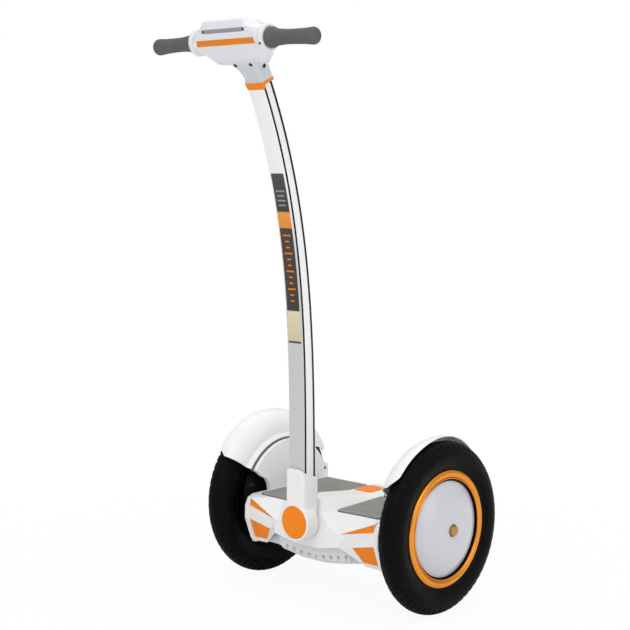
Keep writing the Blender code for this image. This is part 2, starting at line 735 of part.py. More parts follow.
def wheel(side, label, pivot, paints):
    """Tyre, rim, magnets and the two motor covers, which turn together."""
    add(f"{label}_tyre", revolve(tyre_profile(), WHEEL_STEPS), paints["rubber"], pivot, smooth=ROUND_SHADING)
    add(f"{label}_rim", revolve(rim_profile(), WHEEL_STEPS), paints["gold"], pivot, smooth=ROUND_SHADING)
    magnet_half = STATOR_WIDTH / 2 + MAGNET_OVERHANG
    magnets = [
        (-magnet_half, RIM_BORE_RADIUS - GAP),
        (magnet_half, RIM_BORE_RADIUS - GAP),
        (magnet_half, RIM_BORE_RADIUS - MAGNET_DEPTH),
        (-magnet_half, RIM_BORE_RADIUS - MAGNET_DEPTH),
    ]
    add(f"{label}_magnet_ring", revolve(magnets, WHEEL_STEPS), paints["steel"], pivot, smooth=ROUND_SHADING)
    hole = AXLE_RADIUS + RUNNING_GAP
    outer = motor_cover_profile(OUTER_DOME, NUT_RADIUS + SHADOW_GAP / 2)
    outer_cover = revolve(turned_outwards(outer, side), WHEEL_STEPS)
    add(f"{label}_motor_cover", outer_cover, paints["pearl"], pivot, smooth=ROUND_SHADING)
    inner = motor_cover_profile(INNER_DOME, hole)
    inner_cover = revolve(turned_outwards(inner, -side), WHEEL_STEPS)
    add(f"{label}_inner_cover", inner_cover, paints["alloy"], pivot, smooth=ROUND_SHADING)


def axle_parts(side, label, root, paints):
    """Fixed motor axle, stator and axle nut of one wheel."""
    centre = (side * HALF_TRACK, 0, 0)
    nut_start = RIM_WIDTH / 2 + OUTER_DOME - NUT_SINK
    nut_end = nut_start + NUT_HEIGHT
    axle_end = nut_end - NUT_WALL - GAP
    inner_end = CHASSIS_HALF_WIDTH - CHASSIS_END_WALL - HALF_TRACK - AXLE_TAIL
    shoulder_start = SIDE_PLATE_OUTER_X + GAP - HALF_TRACK
    shoulder_end = -(RIM_WIDTH / 2 + INNER_DOME) - RUNNING_GAP
    shaft = [
        (inner_end, 0),
        (inner_end, AXLE_RADIUS),
        (shoulder_start, AXLE_RADIUS),
        (shoulder_start, AXLE_SHOULDER_RADIUS),
        (shoulder_end, AXLE_SHOULDER_RADIUS),
        (shoulder_end, AXLE_RADIUS),
        (axle_end - AXLE_CHAMFER, AXLE_RADIUS),
        (axle_end, AXLE_RADIUS - AXLE_CHAMFER),
        (axle_end, 0),
    ]
    spindle = revolve(turned_outwards(shaft, side), SHAFT_STEPS, closed=False)
    add(f"{label}_motor_axle", spindle, paints["steel"], root, centre, smooth=ROUND_SHADING)
    add(f"{label}_stator", stator(), paints["copper"], root, centre)
    nut = [
        (nut_start, AXLE_RADIUS + GAP),
        (nut_start, NUT_RADIUS),
        (nut_end - NUT_CHAMFER, NUT_RADIUS),
        (nut_end, NUT_RADIUS - NUT_CHAMFER),
        (nut_end, 0),
    ]
    nut = [(nut_end - NUT_WALL, 0), (nut_end - NUT_WALL, AXLE_RADIUS + GAP)] + nut
    cap = revolve(turned_outwards(nut, side), SHAFT_STEPS, closed=False)
    add(f"{label}_axle_nut", cap, paints["brass"], root, centre, smooth=ROUND_SHADING)


def stator():
    """Laminated stator ring with wound teeth round its edge."""
    tip = RIM_BORE_RADIUS - MAGNET_DEPTH - AIR_GAP
    valley = tip - STATOR_SLOT_DEPTH
    bore = AXLE_RADIUS + GAP
    pitch = 2 * math.pi / STATOR_TEETH
    outer = []
    inner = []
    for tooth in range(STATOR_TEETH):
        start = tooth * pitch
        for share, at_tip in STATOR_TOOTH:
            radius = tip if at_tip else valley
            angle = start + share * pitch
            outer.append((radius * math.cos(angle), radius * math.sin(angle)))
            inner.append((bore * math.cos(angle), bore * math.sin(angle)))
    ends = (-STATOR_WIDTH / 2, STATOR_WIDTH / 2)
    outer_rings = [[(along, y, z) for y, z in outer] for along in ends]
    inner_rings = [[(along, y, z) for y, z in inner] for along in ends]
    return tube(outer_rings, inner_rings)


# Fenders and side plates


def fender_section(lip_angle, shrink):
    """(across, radius) points of the fender from its root to its outer lip, across from the middle."""
    reach = FENDER_ARC_RADIUS - shrink
    root_x = SIDE_PLATE_OUTER_X + GAP - HALF_TRACK + shrink
    root = [(root_x, FENDER_FLANGE_RADIUS), (root_x, FENDER_ROOT_RADIUS - shrink)]
    curve = arc_points((0, FENDER_ARC_CENTRE), reach, FENDER_ARC_ANGLE, lip_angle, FENDER_SECTION_STEPS)
    return root + curve


def fender_lip(angle):
    """Section angle of the fender's outer lip at an angle along the wheel: drawn back in front and behind."""
    into = min(1.0, (angle - FENDER_FRONT_ANGLE) / FENDER_FRONT_RUN)
    lip = blend(FENDER_FRONT_LIP_ANGLE, FENDER_LIP_ANGLE, math.sin(into * math.pi / 2))
    beyond = max(0.0, 1 - (FENDER_REAR_ANGLE - angle) / FENDER_REAR_RUN)
    return lip + (FENDER_REAR_LIP_ANGLE - FENDER_LIP_ANGLE) * beyond**FENDER_REAR_CURVE


def fender(side, label, root, paints):
    """Mudguard over the top and the inner side of one tyre."""
    run_end = FENDER_FRONT_ANGLE + FENDER_FRONT_RUN
    angles = []
    for step in range(FENDER_FRONT_STEPS):
        angles.append(blend(FENDER_FRONT_ANGLE, run_end, step / FENDER_FRONT_STEPS))
    for step in range(FENDER_STEPS + 1):
        angles.append(blend(run_end, FENDER_REAR_ANGLE, step / FENDER_STEPS))
    rings = []
    for angle in angles:
        lip = fender_lip(angle)
        skin = fender_section(lip, 0) + list(reversed(fender_section(lip, FENDER_WALL)))
        turn = math.radians(angle)
        ring = []
        for across, radius in skin:
            ring.append((side * (HALF_TRACK + across), -radius * math.cos(turn), radius * math.sin(turn)))
        rings.append(ring)
    add(f"{label}_fender", loft(rings), paints["white"], root, smooth=SKIN_SHADING)


def behind(y):
    """The place at the tail that answers to a place at the front, on the shorter rear overhang."""
    return DECK_REAR_Y + (DECK_FRONT_Y - y) * (TAIL_Y - DECK_REAR_Y) / (DECK_FRONT_Y - NOSE_Y)


def side_plate_outline():
    """(y, z) outline of the end plate: pod end below, wheel shield with its rear corner above."""
    front = [(LAMP_OUTER_LOW_YZ[0] + SIDE_PLATE_PROUD, BASE_BOTTOM_Z)]
    for y, z in (LAMP_OUTER_LOW_YZ, LAMP_OUTER_TOP_YZ, POD_MIDDLE_YZ):
        front.append((y - SIDE_PLATE_PROUD, z))
    front.append((POD_HIGH_YZ[0] + SIDE_PLATE_PROUD, POD_HIGH_YZ[1] - SIDE_PLATE_PROUD / 2))
    front.append((DECK_FRONT_Y, DECK_Z))
    curve = [(inset - SHIELD_RADIUS, DECK_Z + rise) for inset, rise in SHIELD_FRONT_CURVE]
    arc = arc_points((0, 0), SHIELD_RADIUS, FENDER_FRONT_ANGLE, FENDER_REAR_ANGLE, SHIELD_STEPS)
    shield = [(-across, up) for across, up in arc]
    corner = [
        (SHIELD_REAR_Y - SHIELD_REAR_CUT, DECK_Z + SHIELD_REAR_RISE),
        (SHIELD_REAR_Y, DECK_Z + SHIELD_REAR_RISE - SHIELD_REAR_CUT / 2),
        (SHIELD_REAR_Y, DECK_Z),
    ]
    tail = [(behind(y), z) for y, z in reversed(front[:-1])]
    return front + curve + shield + corner + tail


def side_plate(side, label, root, paints):
    """End plate of the base, which carries the fender and shields the wheel's inner side."""
    outline = side_plate_outline()
    inner = [(side * SIDE_PLATE_X, y, z) for y, z in outline]
    plate = prism(inner, (side * SIDE_PLATE_THICKNESS, 0, 0))
    made = add(f"{label}_side_plate", plate, paints["shade"], root)
    hole = cylinder(AXLE_RADIUS + GAP, -SIDE_PLATE_THICKNESS * 2, SIDE_PLATE_THICKNESS * 2, SHAFT_STEPS)
    combine(made, hole, "DIFFERENCE", (side * SIDE_PLATE_X, 0, 0))


# Base body


def seam_z(x):
    """Height of the seam between the deck cover and the lower cover."""
    return SEAM_Z + SEAM_SLOPE * abs(x)


def lamp_inner_low():
    """Lower inner corner of the lower lamp facet, in the plane of its other three corners."""
    first = Vector(LAMP_INNER_TOP)
    second = Vector((DECK_HALF_WIDTH, *LAMP_OUTER_TOP_YZ))
    third = Vector((DECK_HALF_WIDTH, *LAMP_OUTER_LOW_YZ))
    normal = (second - first).cross(third - first)
    x, z = LAMP_INNER_LOW_XZ
    y = first.y - (normal.x * (x - first.x) + normal.z * (z - first.z)) / normal.y
    return Vector((x, y, z))


def lowered(top, low):
    """The pod's bottom corner below a lower corner of the lamp facet, in line with its edge."""
    return low + (low - top) * (POD_CHIN / (top.z - low.z))


def front_rows():
    """Front of the deck cover at five stations out from the middle, as rows of (x, y, z) going down."""
    tip = Vector(POD_TIP)
    high = Vector((DECK_HALF_WIDTH, *POD_HIGH_YZ))
    middle = Vector((DECK_HALF_WIDTH, *POD_MIDDLE_YZ))
    inner = Vector(LAMP_INNER_TOP)
    share = (inner.x - tip.x) / (DECK_HALF_WIDTH - tip.x)
    crest_x = RIDGE_TOP_FRONT_X
    foot_x = RIDGE_FOOT_FRONT_X
    brow_y = blend(NOSE_Y, RIDGE_NOSE_Y, 0.5)
    brow_z = blend(NOSE_Z, RIDGE_FRONT_Z, 0.5)
    cheek_z = blend(NOSE_Z, DECK_Z, CHEEK_Z_SHARE)
    chin_z = blend(SEAM_Z, NOSE_Z, 0.5)
    outer_top = Vector((DECK_HALF_WIDTH, *LAMP_OUTER_TOP_YZ))
    outer_low = Vector((DECK_HALF_WIDTH, *LAMP_OUTER_LOW_YZ))
    return [
        [
            (crest_x, RIDGE_NOSE_Y, RIDGE_FRONT_Z),
            (crest_x, brow_y, brow_z),
            (crest_x, NOSE_Y, NOSE_Z),
            (crest_x, NOSE_Y, chin_z),
            (crest_x, NOSE_Y, seam_z(crest_x)),
        ],
        [
            (foot_x, DECK_FRONT_Y, DECK_Z),
            (foot_x, blend(NOSE_Y, DECK_FRONT_Y, CHEEK_Y_SHARE), cheek_z),
            (foot_x, NOSE_Y, NOSE_Z),
            (foot_x, NOSE_Y, chin_z),
            (foot_x, NOSE_Y, seam_z(foot_x)),
        ],
        [
            (POD_INNER_X, DECK_FRONT_Y, DECK_Z),
            tuple(tip + Vector((0, 0, GAP * 4))),
            tuple(tip),
            (POD_INNER_X, NOSE_Y, blend(POD_TIP[2], seam_z(POD_INNER_X), 0.5)),
            (POD_INNER_X, NOSE_Y, seam_z(POD_INNER_X)),
        ],
        [
            (inner.x, DECK_FRONT_Y, DECK_Z),
            tuple(blend(tip, high, share)),
            tuple(blend(tip, middle, share)),
            tuple(inner),
            tuple(lowered(inner, lamp_inner_low())),
        ],
        [
            (DECK_HALF_WIDTH, DECK_FRONT_Y, DECK_Z),
            tuple(high),
            tuple(middle),
            tuple(outer_top),
            tuple(lowered(outer_top, outer_low)),
        ],
    ]


def ridge_height(y):
    """Height of the ridge's top: level behind, rising towards the column."""
    if y >= RIDGE_LEVEL_Y:
        return RIDGE_REAR_Z
    share = (RIDGE_LEVEL_Y - y) / (RIDGE_LEVEL_Y - DECK_FRONT_Y)
    return blend(RIDGE_REAR_Z, RIDGE_FRONT_Z, math.sin(share * math.pi / 2))


def ridge_x(y, front, rear):
    """Half width of the ridge's top or foot at a place along the deck."""
    share = (y - DECK_FRONT_Y) / (DECK_REAR_Y - DECK_FRONT_Y)
    return blend(front, rear, min(1.0, max(0.0, share)))


def deck_ring(station, side, inset):
    """One closed ring of the deck cover: front, top, back, then the same on the inside."""
    rows = front_rows()
    tops = [DECK_FRONT_Y + DECK_EDGE_INSET, RIDGE_BEND_Y, RIDGE_LEVEL_Y, DECK_REAR_Y - DECK_EDGE_INSET]
    foot = (RIDGE_TOP_FRONT_X, RIDGE_TOP_REAR_X) if station == 0 else (RIDGE_FOOT_FRONT_X, RIDGE_FOOT_REAR_X)
    drop = DECK_THICKNESS if inset else 0.0
    ring = []
    front = list(enumerate(rows[station]))
    for k, (x, y, z) in reversed(front):
        width = x if station > 1 else ridge_x(y, *foot)
        ring.append((side * width, y + inset, z - (drop if k == 0 else inset * 0.5)))
    for y in tops:
        width = rows[station][0][0] if station > 1 else ridge_x(y, *foot)
        z = ridge_height(y) if station == 0 else DECK_Z
        ring.append((side * width, y, z - drop))
    for k, (x, y, z) in enumerate(rows[station if station else 1]):
        width = x if station > 1 else ridge_x(DECK_REAR_Y, *foot)
        height = RIDGE_REAR_Z if station == 0 and k == 0 else z
        ring.append((side * width, behind(y) - inset, height - (drop if k == 0 else inset * 0.5)))
    return ring


def deck_cover(root, paints):
    """White moulded upper shell with the pods, the ridge, mat pockets and holes."""
    order = [(4, -1), (3, -1), (2, -1), (1, -1), (0, -1), (0, 1), (1, 1), (2, 1), (3, 1), (4, 1)]
    rings = []
    for station, side in order:
        outside = deck_ring(station, side, 0.0)
        inside = deck_ring(station, side, BODY_WALL)
        rings.append(outside + inside[::-1])
    cover = add("deck_cover", loft(rings), paints["white"], root)
    pockets = []
    for side in (-1, 1):
        outline = rounded(grown(mat_corners(), MAT_MARGIN), MAT_CORNER + MAT_MARGIN)
        low = [(side * x, y, DECK_Z - MAT_POCKET_DEPTH) for x, y in outline]
        pockets.append(prism(low, (0, 0, RIDGE_FRONT_RISE * 2)))
    combine(cover, merged(pockets), "DIFFERENCE")
    hole = cylinder(PIVOT_BUSH_RADIUS + SHADOW_GAP, -PIVOT_HOLE_DEPTH, PIVOT_HOLE_DEPTH, SHAFT_STEPS)
    combine(cover, hole, "DIFFERENCE", (0, NOSE_Y, PIVOT_Z), (0, 0, math.pi / 2))
    lid = rounded(grown(lid_corners(), GAP * 2), LID_CORNER + GAP * 2)
    recess = prism([(x, y, RIDGE_REAR_Z - LID_SINK) for x, y in lid], (0, 0, LID_THICKNESS * 4))
    combine(cover, recess, "DIFFERENCE")
    bore = cylinder(SOCKET_RADIUS + GAP, -SOCKET_DEPTH, SOCKET_DEPTH, SHAFT_STEPS)
    combine(cover, bore, "DIFFERENCE", (0, socket_y(), RIDGE_REAR_Z), (0, math.pi / 2, 0))
    return cover


def mat_corners():
    """(x, y) corners of the foot mat on the +X side."""
    front, rear = DECK_FRONT_Y + MAT_FRONT_INSET, DECK_REAR_Y - MAT_REAR_INSET
    outer = DECK_HALF_WIDTH - MAT_EDGE_WIDTH
    return [
        (ridge_x(front, RIDGE_FOOT_FRONT_X, RIDGE_FOOT_REAR_X) + MAT_RIDGE_GAP, front),
        (outer, front + MAT_FRONT_SLANT),
        (outer, rear),
        (ridge_x(rear, RIDGE_FOOT_FRONT_X, RIDGE_FOOT_REAR_X) + MAT_RIDGE_GAP, rear),
    ]


def foot_mat(side, label, pivot, paints):
    """Rubber foot mat that presses down on its switch."""
    outline = [(side * x, y, MAT_BOTTOM_Z) for x, y in rounded(mat_corners(), MAT_CORNER)]
    place = axle_frame_of(pivot)
    add(f"{label}_foot_mat", prism(outline, (0, 0, MAT_TOP_Z - MAT_BOTTOM_Z)), paints["mat"], pivot, place)


def foot_switch(side, label, root, paints):
    """Rider-presence switch that hangs under the deck, below the mat."""
    top = DECK_Z - DECK_THICKNESS - GAP
    middle = side * (RIDGE_FOOT_FRONT_X + DECK_HALF_WIDTH) / 2
    low = (middle - SWITCH_WIDTH / 2, -SWITCH_LENGTH / 2, top - SWITCH_HEIGHT)
    high = (middle + SWITCH_WIDTH / 2, SWITCH_LENGTH / 2, top)
    add(f"{label}_foot_switch", box(low, high), paints["black"], root)


def socket_y():
    """Where the charging socket sits along the ridge."""
    return (LID_FRONT_Y + LID_REAR_Y) / 2


def lid_corners():
    """(x, y) corners of the charging lid, inside the edges of the ridge's top."""
    front_x = ridge_x(LID_FRONT_Y, RIDGE_TOP_FRONT_X, RIDGE_TOP_REAR_X) - LID_MARGIN
    rear_x = ridge_x(LID_REAR_Y, RIDGE_TOP_FRONT_X, RIDGE_TOP_REAR_X) - LID_MARGIN
    return [(-front_x, LID_FRONT_Y), (front_x, LID_FRONT_Y), (rear_x, LID_REAR_Y), (-rear_x, LID_REAR_Y)]


def charging_parts(root, hinge, paints):
    """Charging socket in the ridge and the hinged lid over it."""
    place = (0, socket_y(), RIDGE_REAR_Z - SOCKET_SINK)
    well = SOCKET_RADIUS - SOCKET_WALL
    profile = [
        (-SOCKET_DEPTH, 0),
        (-SOCKET_DEPTH, SOCKET_RADIUS),
        (0, SOCKET_RADIUS),
        (0, well),
        (-SOCKET_DEPTH + SOCKET_FLOOR, well),
        (-SOCKET_DEPTH + SOCKET_FLOOR, SOCKET_PIN_RADIUS),
        (-SOCKET_SINK, SOCKET_PIN_RADIUS),
        (-SOCKET_SINK, 0),
    ]
    body = revolve(profile, SMALL_STEPS, closed=False)
    add("charge_socket", body, paints["black"], root, place, (0, -math.pi / 2, 0), smooth=ROUND_SHADING)
    outline = [(x, y, RIDGE_REAR_Z - LID_SINK + GAP) for x, y in rounded(lid_corners(), LID_CORNER)]
    add("charge_lid", prism(outline, (0, 0, LID_THICKNESS)), paints["orange"], hinge, axle_frame_of(hinge))


def belly_z(x):
    """Height of the lower cover's floor: a shallow V in the middle, level under the pods."""
    if abs(x) > BELLY_EDGE_X:
        return BASE_BOTTOM_Z + BODY_WALL
    middle = BASE_BOTTOM_Z - BELLY_DROP
    return blend(middle, BASE_BOTTOM_Z + BELLY_EDGE_RISE, abs(x) / BELLY_EDGE_X)


def belly_ring(x, mouth, lip):
    """Closed outline of the lower cover: front lip, floor, rear lip and back along the inside."""
    floor = belly_z(x)
    top = seam_z(min(abs(x), BELLY_EDGE_X)) - SHADOW_GAP
    corner = BODY_WALL * 2
    outside = [(mouth, top), (lip, floor + corner), (lip + corner, floor)]
    outside += [(behind(y), z) for y, z in reversed(outside)]
    inside = [(lip + corner, floor + BODY_WALL), (mouth + BODY_WALL, top)]
    rear_inside = [(behind(mouth) - BODY_WALL, top), (behind(lip) - corner, floor + BODY_WALL)]
    return [(x, y, z) for y, z in outside + rear_inside + inside]


def lower_cover(root, paints):
    """Bottom shell between the pods, with the ribbed strip under the nose and the tail."""
    outer_x = DECK_HALF_WIDTH - BODY_WALL * 2
    pod_x = BELLY_EDGE_X + RIB_PITCH
    narrow = (POD_MOUTH_Y, POD_LIP_Y)
    wide = (BELLY_MOUTH_Y, BELLY_LIP_Y)
    half = [(RIDGE_TOP_FRONT_X, wide), (BELLY_EDGE_X, wide), (pod_x, narrow), (outer_x, narrow)]
    stations = [(-x, shape) for x, shape in reversed(half)] + half
    cover = add("lower_cover", loft([belly_ring(x, *shape) for x, shape in stations]), paints["shade"], root)
    front = BELLY_LIP_Y + RIB_GROOVE_DEPTH
    grooves = []
    for k in range(RIB_COUNT + 1):
        x = (k - RIB_COUNT / 2) * RIB_PITCH
        low, high = belly_z(x) - RIB_GROOVE * 2, belly_z(x) + RIB_HEIGHT
        for near, far in ((NOSE_Y, front), (behind(front), TAIL_Y + BODY_WALL)):
            grooves.append(box((x - RIB_GROOVE / 2, near, low), (x + RIB_GROOVE / 2, far, high)))
    combine(cover, merged(grooves), "DIFFERENCE")


def lamp_trims(side, label, root, cover, paints):
    """Two orange facets let into the front of each pod, and their pockets in the cover."""
    rows = front_rows()
    upper = [Vector(rows[2][2]), Vector(rows[4][1]), Vector(rows[4][2])]
    outer_low = Vector((DECK_HALF_WIDTH, *LAMP_OUTER_LOW_YZ))
    lower = [Vector(rows[3][3]), Vector(rows[4][3]), outer_low, lamp_inner_low()]
    for name, corners in (("upper_trim", upper), ("lower_trim", lower)):
        origin = corners[0]
        across = (corners[1] - origin).normalized()
        normal = across.cross(corners[2] - origin).normalized()
        if normal.y > 0:
            normal = -normal
        upward = normal.cross(across)
        flat = [((corner - origin).dot(across), (corner - origin).dot(upward)) for corner in corners]

        def lifted(shape, height, origin=origin, u=across, v=upward, n=normal):
            points = [origin + u * a + v * b + n * height for a, b in shape]
            return [(side * point.x, point.y, point.z) for point in points]

        pocket_shape = grown(flat, -TRIM_MARGIN)
        insert_shape = grown(flat, -TRIM_MARGIN - GAP)
        pocket = loft([lifted(pocket_shape, -INSERT_SINK), lifted(pocket_shape, BODY_WALL)])
        combine(cover, pocket, "DIFFERENCE")
        insert = loft([lifted(insert_shape, -INSERT_SINK + GAP), lifted(insert_shape, -TRIM_TOP_DEPTH)])
        add(f"{label}_{name}", insert, paints["orange"], root)


# Chassis and inner pieces


def chassis(root, paints):
    """Cast tray that holds the battery and carries the axles in its end walls."""
    low = (-CHASSIS_HALF_WIDTH, CHASSIS_FRONT_Y, CHASSIS_FLOOR_Z)
    high = (CHASSIS_HALF_WIDTH, CHASSIS_REAR_Y, CHASSIS_END_Z)
    tray = add("chassis", box(low, high), paints["alloy"], root)
    inner_x = CHASSIS_HALF_WIDTH - CHASSIS_END_WALL
    above = CHASSIS_END_Z + CHASSIS_HEIGHT
    hollow_low = (-inner_x, CHASSIS_FRONT_Y + CHASSIS_WALL, CHASSIS_FLOOR_Z + CHASSIS_WALL)
    hollow_high = (inner_x, CHASSIS_REAR_Y - CHASSIS_WALL, above)
    combine(tray, box(hollow_low, hollow_high), "DIFFERENCE")
    sill_low = (-inner_x, CHASSIS_FRONT_Y - CHASSIS_WALL, CHASSIS_RIM_Z)
    sill_high = (inner_x, CHASSIS_REAR_Y + CHASSIS_WALL, above)
    combine(tray, box(sill_low, sill_high), "DIFFERENCE")
    through = cylinder(AXLE_RADIUS + GAP, -CHASSIS_HALF_WIDTH * 2, CHASSIS_HALF_WIDTH * 2, SHAFT_STEPS)
    combine(tray, through, "DIFFERENCE")


def battery(root, paints):
    """Battery pack on the tray's floor, behind the pivot."""
    low = (-BATTERY_HALF_WIDTH, BATTERY_FRONT_Y, BATTERY_FLOOR_Z)
    high = (BATTERY_HALF_WIDTH, BATTERY_REAR_Y, BATTERY_FLOOR_Z + BATTERY_HEIGHT)
    pack = add("battery_pack", box(low, high), paints["battery"], root)
    rounding = pack.modifiers.new("Rounding", "BEVEL")
    rounding.width = BATTERY_ROUNDING
    rounding.segments = 1


def control_board(root, paints):
    """Motor controller on top of the battery, with cooling fins."""
    base = BATTERY_FLOOR_Z + BATTERY_HEIGHT + GAP
    top = base + BOARD_THICKNESS
    half = BATTERY_HALF_WIDTH - BOARD_SIDE_INSET
    low = (-half, BATTERY_FRONT_Y + BOARD_FRONT_INSET, base)
    high = (half, BATTERY_REAR_Y - BOARD_REAR_INSET, top)
    board = add("control_board", box(low, high), paints["board"], root)
    fin_rear = BATTERY_REAR_Y - FIN_REAR_INSET
    fins = []
    for k in range(FIN_COUNT):
        x = (k - (FIN_COUNT - 1) / 2) * FIN_PITCH
        fin_low = (x - FIN_THICKNESS / 2, fin_rear - FIN_LENGTH, top - FIN_ROOT)
        fin_high = (x + FIN_THICKNESS / 2, fin_rear, top + FIN_HEIGHT)
        fins.append(box(fin_low, fin_high))
    combine(board, merged(fins), "UNION")


# Steering pivot


def pivot_parts(root, steering, paints):
    """Housing, two bushes, shaft, lever and rubber buffers of the leaning pivot."""
    quarter = (0, 0, math.pi / 2)
    level = (0, 0, 0)
    at_axis = (0, 0, PIVOT_Z)
    rear_y = PIVOT_HOUSING_REAR_Y
    ring = [
        (PIVOT_HOUSING_FRONT_Y, PIVOT_BUSH_RADIUS + GAP),
        (PIVOT_HOUSING_FRONT_Y, PIVOT_HOUSING_RADIUS),
        (rear_y, PIVOT_HOUSING_RADIUS),
        (rear_y, PIVOT_BUSH_RADIUS + GAP),
    ]
    housing = add("pivot_housing", revolve(ring, SHAFT_STEPS), paints["alloy"], root, at_axis, quarter)
    leg_low = (-LEG_HALF_WIDTH, CHASSIS_FRONT_Y + CHASSIS_WALL + GAP, BATTERY_FLOOR_Z)
    leg_high = (LEG_HALF_WIDTH, rear_y, PIVOT_Z - PIVOT_BUSH_RADIUS - LEG_DROP)
    combine(housing, box(leg_low, leg_high), "UNION", level, level)
    buffer_z = PIVOT_Z - LEVER_LENGTH + BUFFER_HALF_HEIGHT + BUFFER_RISE
    lever_front = rear_y + RUNNING_GAP + LEVER_ROOM
    lever_rear = lever_front + LEVER_THICKNESS
    lean = math.radians(LEAN_LIMIT)
    swing = LEVER_LENGTH * math.sin(lean) + LEVER_HALF_WIDTH * math.cos(lean) + RUNNING_GAP
    bracket_x = swing + BUFFER_LENGTH
    bracket_front = rear_y - BRACKET_REACH
    for side in (-1, 1):
        near, far = sorted((side * (bracket_x + GAP), side * (bracket_x + BRACKET_WALL)))
        low = (near, bracket_front, buffer_z - BUFFER_HALF_HEIGHT - BRACKET_FOOT)
        high = (far, lever_rear, buffer_z + BRACKET_RISE)
        combine(housing, box(low, high), "UNION", level, level)
    plate_low = (-bracket_x - BRACKET_OVERLAP, bracket_front, buffer_z - BRACKET_PLATE)
    plate_high = (bracket_x + BRACKET_OVERLAP, bracket_front + BRACKET_PLATE, buffer_z + BRACKET_PLATE)
    combine(housing, box(plate_low, plate_high), "UNION", level, level)
    for side, label in ((1, "left"), (-1, "right")):
        near, far = sorted((side * swing, side * bracket_x))
        low = (near, lever_front, buffer_z - BUFFER_HALF_HEIGHT)
        high = (far, lever_rear, buffer_z + BUFFER_HALF_HEIGHT)
        add(f"{label}_buffer", box(low, high), paints["rubber"], root)
    bush_hole = PIVOT_SHAFT_RADIUS + RUNNING_GAP / 2
    flange = PIVOT_BUSH_RADIUS + PIVOT_BUSH_FLANGE
    for name, face_y, inwards in (("front_bush", PIVOT_HOUSING_FRONT_Y, 1), ("rear_bush", rear_y, -1)):
        outer_y = face_y - inwards * (GAP + PIVOT_BUSH_FLANGE_THICKNESS)
        seat_y = face_y - inwards * GAP
        inner_y = face_y + inwards * PIVOT_BUSH_LENGTH
        outline = [
            (outer_y, bush_hole),
            (outer_y, flange),
            (seat_y, flange),
            (seat_y, PIVOT_BUSH_RADIUS),
            (inner_y, PIVOT_BUSH_RADIUS),
            (inner_y, bush_hole),
        ]
        bush = revolve(outline, SHAFT_STEPS)
        add(name, bush, paints["brass"], root, at_axis, quarter, smooth=ROUND_SHADING)
    shaft_front = BOOT_FRONT_Y + CAP_SINK + CAP_BACK_WALL
    shaft = cylinder(PIVOT_SHAFT_RADIUS, shaft_front, rear_y + PIVOT_SHAFT_TAIL, SHAFT_STEPS)
    add("pivot_shaft", shaft, paints["steel"], steering, level, quarter, smooth=ROUND_SHADING)
    arm_low = (-LEVER_HALF_WIDTH, lever_front, PIVOT_Z - LEVER_LENGTH)
    arm_high = (LEVER_HALF_WIDTH, lever_rear, PIVOT_Z)
    lever = add("pivot_lever", box(arm_low, arm_high), paints["steel"], steering, axle_frame_of(steering))
    hub = cylinder(PIVOT_SHAFT_RADIUS + LEVER_HUB_WALL, lever_front, lever_rear, SHAFT_STEPS)
    combine(lever, hub, "UNION", level, quarter)
    bore_start, bore_end = lever_front - LEVER_THICKNESS, lever_rear + LEVER_THICKNESS
    bore = cylinder(PIVOT_SHAFT_RADIUS + GAP, bore_start, bore_end, SHAFT_STEPS)
    combine(lever, bore, "DIFFERENCE", level, quarter)


def boot_outline():
    """(x, y) outline of the boot's stem, with round front corners."""
    corners = [
        (-BOOT_HALF_WIDTH, BOOT_FRONT_Y),
        (BOOT_HALF_WIDTH, BOOT_FRONT_Y),
        (BOOT_HALF_WIDTH, BOOT_STEM_REAR_Y),
        (-BOOT_HALF_WIDTH, BOOT_STEM_REAR_Y),
    ]
    return rounded(corners, BOOT_CORNER, BOOT_CORNER_STEPS)


def nose_slope():
    """(y, z) outline of the space behind the boot, whose front runs along the deck's sloping nose."""
    low = Vector((NOSE_Y - BOOT_NOSE_GAP, NOSE_Z))
    high = Vector((RIDGE_NOSE_Y - BOOT_NOSE_GAP, RIDGE_FRONT_Z))
    foot = low + (low - high)
    return [tuple(foot), tuple(high), (0, high.y), (0, foot.y)]


